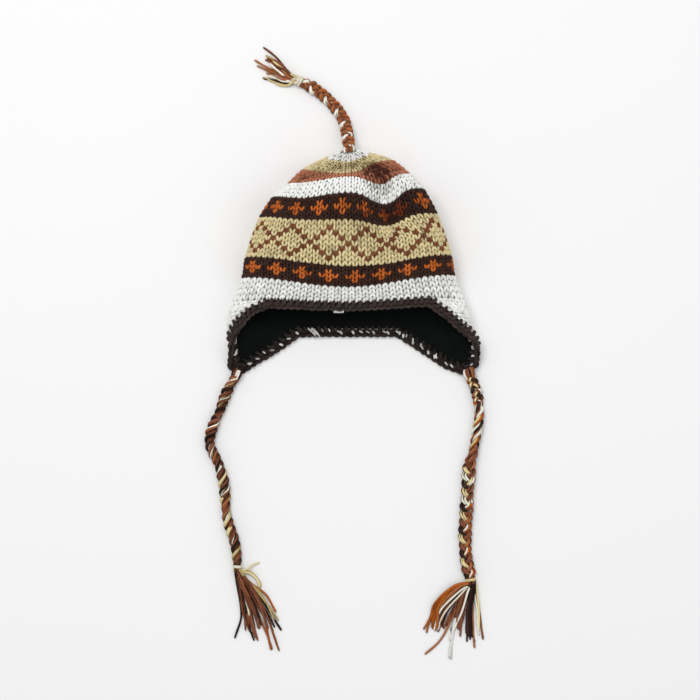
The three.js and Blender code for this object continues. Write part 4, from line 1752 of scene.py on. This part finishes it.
    def tassel(self, line: Array) -> bpy.types.Object:
        """The loose yarns past the tie.

        Args:
            line: the route in even steps.

        Returns:
            The piece.
        """
        made = MeshMaker("tassel_yarns_" + self.name)
        random = np.random.default_rng(self.seed + 20)
        along, side, over = (way[-1] for way in line_frames(line))
        root = line[-1] - along * 0.5
        for letter, count, guide in self.guides:
            for i in range(count):
                spin = random.random() * 2 * math.pi
                wide = self.width * self.hold_share * math.sqrt(random.random())
                spread = wide * (side * math.cos(spin) + over * math.sin(spin))
                start = root + spread * 0.55
                held = root + spread + along * (self.tie_length + 1.5)
                hooks = np.array(guide, dtype=float)
                if i:
                    grow = np.linspace(0.5, 1, len(hooks))[:, None]
                    hooks = hooks + random.normal(0, 1, (len(hooks), 3)) * self.scatter * grow
                    hooks[-1] += unit(hooks[-1] - hooks[-2]) * random.normal(-2, 4)
                path = smooth_line([start, held, *hooks], 2.0)
                share = np.linspace(0, 1, len(path))
                sway = np.sin(share * random.uniform(5, 10) + random.random() * 6)
                sway = sway * share * self.tassel_sway
                path = path + np.cross(unit(np.gradient(path, axis=0)), [0, 0, 1]) * sway[:, None]
                swell = 1 + 0.08 * np.sin(share * 23 + spin)
                swell[-1] *= 0.6
                made.strand(above(path, self.tassel_radius), self.tassel_radius * swell,
                            PLAIT_YARNS[letter], random.uniform(-0.2, 0.55), 0.6)
        return made.make("plait", "tassel_" + self.name)


TOP_PLAIT = Plait(
    name="top",
    route=(
        (-4.8, 138.2, 20.5), (-7.2, 156.6, 14.5), (-12, 173.4, 8.5), (-21, 186.6, 7),
        (-32.4, 198.6, 7), (-46.8, 209.4, 7), (-60.6, 216.6, 7),
    ),
    width=13.6,
    sizes=((0, 15.4, 10.0, 3.2), (1, 16.2, 10.0, 3.3)),
    bumps=((0, 5.3), (0.3, 5.9), (0.6, 6.8), (1, 8.0)),
    rolls=((0, 0), (1, 0)),
    colours=(
        (0.0, "RCCCRR BBRRBB RRRRRB", "ORRRRR BCBRBR OORRRB"),
        (0.24, "RCCCRR BBRRBB RRRRRB", "OOBRRR BRBRBR ORRRRB"),
        (0.8, "RCCCRR BBRRBB RRBRRB", "OCCRRR BRBRBR ORRRRB"),
    ),
    hitch_yarns="CRBRC",
    held=(-4.4, 132.5, 22.6),
    arch=0.4,
    yarn_radius=1.1,
    tie_yarn="C",
    tie_turns=2,
    tie_length=7.0,
    tie_radius=1.7,
    guides=(
        ("R", 1, ((-79, 232, 4), (-92, 247, 2.5), (-108.1, 258.8, 1.2))),
        ("K", 1, ((-80, 230, 5), (-93, 242.5, 3), (-104.9, 249.5, 1.2))),
        ("B", 4, ((-78, 227, 6), (-90, 238, 4), (-102.6, 246.6, 1.4))),
        ("R", 1, ((-79, 226, 5), (-93, 238, 3), (-105.6, 244.2, 1.2))),
        ("R", 1, ((-80, 222.5, 5), (-98, 233, 3), (-118.3, 243.5, 1.2))),
        ("R", 2, ((-80, 221, 6), (-97, 230, 4), (-115.3, 236.6, 1.2))),
        ("D", 2, ((-80, 220, 5), (-92, 227.5, 3), (-101, 233, 1.6))),
        ("C", 2, ((-81, 219, 5), (-93, 224, 3), (-102, 228, 1.2))),
        ("C", 3, ((-79, 218, 5), (-88, 221, 4), (-97, 224, 1.4))),
        ("C", 1, ((-80, 223, 7), (-90, 231, 6), (-99, 240, 3))),
        ("B", 2, ((-79, 224, 7), (-89, 233, 5), (-99, 242, 2))),
        ("R", 1, ((-82, 220, 6), (-95, 225, 3), (-104, 227.6, 1.2))),
        ("D", 1, ((-79, 216, 4), (-93, 219.5, 2), (-108, 222, 1.2))),
        ("K", 1, ((-79, 214, 3), (-93, 216.5, 2), (-108.6, 223.2, 1.2))),
        ("K", 1, ((-77, 213, 3), (-83, 213, 2), (-92, 215.5, 1.4))),
        ("K", 2, ((-79, 228, 8), (-88, 236, 6), (-98, 243, 2))),
        ("R", 3, ((-78, 225, 8), (-86, 233, 6), (-95, 241, 2))),
        ("R", 3, ((-80, 223, 6), (-88, 230, 5), (-97, 237, 3))),
    ),
    tail=(),
    seed=5,
)
LEFT_PLAIT = Plait(
    name="left",
    route=(
        (-140.65, -135.3, 5.9), (-148.2, -148.2, 6), (-154.8, -162.6, 6), (-159.6, -177, 6),
        (-165.6, -189.4, 6), (-170.4, -203.4, 6), (-171.6, -216.6, 6), (-166.8, -228.6, 6),
        (-160.8, -240.6, 6), (-157.2, -252.6, 6), (-154.2, -265.8, 6), (-153.2, -280.2, 6),
        (-152.4, -292.2, 6), (-150.6, -305.4, 6), (-146.9, -318.6, 6), (-142.3, -331.8, 6),
        (-139.6, -346.2, 6), (-138.7, -360.6, 6),
    ),
    width=12.6,
    sizes=((0, 13.0, 12.4, 3.1), (0.4, 13.8, 12.6, 3.2), (1, 13.4, 12.4, 3.2)),
    bumps=((0, 8.4), (0.35, 8.8), (0.55, 9.8), (0.8, 10.2), (1, 9.2)),
    uneven=0.16,
    rolls=((0, 0), (1, 0)),
    twists=((0, 1), (1, 1)),
    laid=True,
    colours=tuple((start, row, row) for start, row in (
        (0.0, "BRCCBB DDDCDB BRKDBC"), (0.22, "DDDCBB RRBBRC BBDCDB"),
        (0.36, "RRRKBB BCKBRB DDCDBB"), (0.5, "KKBCBB BBRRBC DDCDBB"),
        (0.66, "RRRRBB KKBBCC BRDDBB"), (0.8, "KKBRBB DDDBDB BBCBRB"),
    )),
    hitch_yarns="DCCBD",
    held=(-137.6, -127.5, 8.4),
    tie_yarn="C",
    tie_turns=2,
    tie_length=4.2,
    guides=(
        ("D", 1, ((-137.5, -395, 2), (-134, -425, 1.5), (-141.7, -449.8, 1.2))),
        ("D", 1, ((-139, -385, 2), (-131, -420, 1.5), (-118, -452.4, 1.2))),
        ("D", 3, ((-137, -380, 5), (-131, -408, 5), (-123, -438, 1.4))),
        ("B", 5, ((-138, -380, 4), (-133, -410, 4), (-124, -442, 1.4))),
        ("B", 8, ((-136, -380, 6), (-128, -410, 5), (-119, -442, 1.4))),
        ("R", 1, ((-133, -385, 5), (-124, -418, 3), (-113.4, -452.4, 1.2))),
        ("G", 1, ((-131, -395, 2), (-124, -422, 2), (-121.3, -441.8, 1.4))),
        ("R", 1, ((-133, -382, 8), (-120, -410, 6), (-112, -438, 2))),
        ("D", 2, ((-132, -382, 7), (-119, -408, 6), (-110, -434, 2))),
        ("C", 1, ((-134, -390, 6), (-126, -416, 5), (-119, -440, 1.6))),
        ("B", 4, ((-133, -382, 7), (-122, -410, 6), (-112, -436, 2))),
        ("B", 8, ((-130, -378, 8), (-115, -402, 7), (-103, -434, 2))),
        ("R", 1, ((-128, -385, 4), (-113, -420, 3), (-97.3, -463.1, 1.2))),
        ("O", 1, ((-127, -385, 4), (-108, -420, 3), (-97.6, -463.6, 1.2))),
        ("O", 1, ((-126, -384, 4), (-104, -420, 3), (-88.7, -464.8, 1.2))),
        ("D", 2, ((-125, -385, 4), (-107, -412, 3), (-95.4, -441.8, 1.4))),
        ("D", 1, ((-122, -385, 3), (-103, -412, 2), (-86, -440.4, 1.2))),
        ("K", 2, ((-126, -380, 6), (-112, -396, 6), (-89.4, -428.4, 1.3))),
        ("O", 1, ((-122, -384, 3), (-104, -397, 2), (-92.6, -418.4, 1.2))),
        ("K", 1, ((-122, -370, 5), (-111.4, -384, 2.5), (-115, -391, 2))),
        ("K", 1, ((-124, -371, 5), (-115, -380, 4), (-112, -389, 2))),
    ),
    tail=((-129, -367, 7), (-121, -362, 4), (-112, -358.4, 1.2)),
    seed=9,
)
RIGHT_PLAIT = Plait(
    name="right",
    route=(
        (139.8, -133.9, 6.5), (146, -148.2, 6.6), (149, -159, 6.6), (150.4, -171, 6.6),
        (151, -183, 6.6), (149.6, -195, 6.6), (147.2, -208.2, 6.6), (145.1, -220.2, 6.6),
        (142.2, -232.2, 6.6), (139.4, -243, 6.6), (138.6, -253.8, 6.6), (137.6, -268.2, 6.6),
        (136.6, -283.8, 6.6), (135.6, -300.6, 6.6), (134.5, -316.2, 6.6), (134.2, -330.6, 6.6),
        (134.7, -343.8, 6.6), (136.4, -358.2, 6.6), (139, -370.4, 6.6),
    ),
    width=14.4,
    sizes=((0, 13.6, 10.2, 3.1), (0.2, 13.4, 12.4, 3.1), (0.38, 13.0, 12.6, 3.0),
           (0.5, 17, 10.8, 3.8), (1, 17, 10.8, 3.8)),
    bumps=((0, 6.2), (0.15, 6.8), (0.26, 9.0), (1, 9.55)),
    rolls=((0, -178), (0.12, -174), (0.18, -90), (0.38, -70), (0.46, -10), (1, 0)),
    twists=((0, 0), (0.11, 0), (0.17, 1), (0.38, 1), (0.46, 0), (1, 0)),
    colours=(
        (0.0, "BBBBKB BBBBRK DDDDDD", "BBBBBC KBBBKB DDDDDD"),
        (0.13, "BBKOOB BRRCCB BCCDDB", "BBKOOB BRRCCB BCCDDB"),
        (0.37, "RBRRBB BRBBRB BBRBBB", "RBBRBB BBRRBB BRBBRB"),
        (0.47, "RBBRBB BKCBOB RBBRBB", "BCCBBB OKKBBB DDDBBB"),
        (0.64, "RBBRBB BCOOOB BRRBBB", "BBBRBB BKKBOB DDDBBB"),
    ),
    hitch_yarns="BRDBBC",
    held=(137.4, -126.0, 8.8),
    overrun=7.0,
    tie_yarn="K",
    tie_turns=2,
    tie_length=4.2,
    guides=(
        ("O", 1, ((121, -385.8, 6), (98.4, -407.2, 5), (93.1, -423.1, 2.5), (84, -438.7, 1.2))),
        ("O", 8, ((123, -386.5, 7), (102, -408, 6), (97, -424, 3), (95, -434, 1.6))),
        ("R", 3, ((126, -388, 8), (105, -410, 6), (99.4, -441.1, 1.3))),
        ("C", 1, ((128, -392, 9), (108, -412, 7), (101, -425, 3), (96.7, -439.8, 1.2))),
        ("B", 6, ((128, -390, 6), (112, -412, 4), (102, -436, 1.4))),
        ("D", 2, ((130, -392, 5), (116, -412, 3), (106, -434, 1.4))),
        ("C", 1, ((130, -395, 9), (114, -412, 7), (106, -426, 3), (102.7, -440.5, 1.2))),
        ("B", 7, ((132, -392, 6), (119, -416, 4), (108, -438, 1.4))),
        ("R", 1, ((133, -395, 5), (117, -428, 3), (104, -452, 1.5), (86.4, -469.1, 1.2))),
        ("B", 5, ((135, -392, 6), (126, -416, 4), (121, -436, 1.4))),
        ("G", 2, ((134, -398, 4), (122, -430, 3), (114.4, -473.2, 1.2))),
        ("C", 1, ((138, -392, 9), (132, -412, 7), (124, -432, 3), (116, -452, 1.4))),
        ("B", 4, ((138, -393, 5), (131, -418, 3.5), (128, -440, 1.4))),
        ("D", 4, ((140, -394, 6), (137, -420, 4), (136, -446.5, 1.4))),
        ("D", 5, ((143, -394, 6), (141, -420, 4), (140.6, -451.1, 1.4))),
        ("R", 1, ((143, -395, 3), (144, -425, 2), (145.6, -461.2, 1.2))),
        ("C", 1, ((145, -392, 4), (149, -418, 3), (151, -446, 1.2))),
        ("K", 1, ((147, -384, 5), (149.5, -405, 4), (152, -439.8, 1.2))),
        ("R", 1, ((146, -388, 4), (152, -418, 2), (156, -451.1, 1.2))),
    ),
    tail=(),
    seed=13,
)


@dataclass
class Studio:
    """A pale floor, soft light from above and a camera that looks straight down."""

    distance: float = 3.5
    lens: float = 150.0
    centre: tuple[float, float] = (-0.0036, -0.1038)

    def camera(self) -> None:
        """Makes the camera."""
        data = bpy.data.cameras.new("camera")
        data.lens = self.lens
        data.sensor_width = 36
        data.clip_end = 50
        made = bpy.data.objects.new("camera", data)
        made.location = (*self.centre, self.distance)
        bpy.context.scene.collection.objects.link(made)
        bpy.context.scene.camera = made

    def lights(self) -> None:
        """Makes the lights and the world's soft fill."""
        self.panel("key", (-0.5, 1.0, 2.7), 1.6, 40)
        self.panel("fill", (1.5, -0.6, 2.6), 2.4, 8)
        world = bpy.data.worlds.new("soft")
        world.use_nodes = True
        back = world.node_tree.nodes["Background"]
        back.inputs["Color"].default_value = (1, 1, 1, 1)
        back.inputs["Strength"].default_value = 0.53
        bpy.context.scene.world = world
        bpy.context.scene.view_settings.view_transform = "Standard"

    def panel(self, name: str, place: Triple, size: float, power: float) -> None:
        """Makes one lamp that faces the hat.

        Args:
            name: the lamp's name.
            place: where it hangs.
            size: how wide it is.
            power: how strong it is.
        """
        data = bpy.data.lights.new(name, "AREA")
        data.size = size
        data.energy = power
        made = bpy.data.objects.new(name, data)
        made.location = place
        x, y, z = (a - b for a, b in zip((*self.centre, 0), place))
        made.rotation_euler = (math.atan2(math.hypot(x, y), -z), 0, math.atan2(x, -y) + math.pi)
        made.visible_camera = False
        bpy.context.scene.collection.objects.link(made)

    def floor(self) -> None:
        """Makes the floor."""
        mesh = bpy.data.meshes.new("floor")
        size = 5.0
        mesh.from_pydata(
            [(-size, -size, 0), (size, -size, 0), (size, size, 0), (-size, size, 0)], [],
            [(0, 1, 2, 3)])
        work = NodeWork("floor_paper")
        coords = work.node("ShaderNodeTexCoord").outputs["Object"]
        grain = work.noise(coords, 3.0, 2, 0.5)
        work.colour(grain, (0.2, (0.955, 0.955, 0.958)), (0.8, (0.965, 0.965, 0.967)))
        work.surface(0.9, 0.0)
        mesh.materials.append(work.made)
        made = bpy.data.objects.new("floor", mesh)
        bpy.context.scene.collection.objects.link(made)


def main() -> None:
    """Builds the scene, the camera and the plaited ties first."""
    logging.basicConfig(level=logging.INFO, format="%(name)s %(message)s")
    studio = Studio()
    studio.camera()
    for plait in (TOP_PLAIT, LEFT_PLAIT, RIGHT_PLAIT):
        plait.build()
    crown = CrownSkin()
    right = FlapSkin(crown, FLAP_RIGHT, 1)
    left = FlapSkin(crown, FLAP_LEFT, -1)
    maker = StitchMaker()
    KnitCrown(crown, maker).build()
    KnitFlap(right, maker, "ear_flap_right").build()
    KnitFlap(left, maker, "ear_flap_left").build()
    Lining(crown, (right, left)).build()
    CrochetTrim(Edge(crown, right, left)).build()
    Label(crown).build()
    studio.lights()
    studio.floor()


if __name__ == "__main__":
    main()
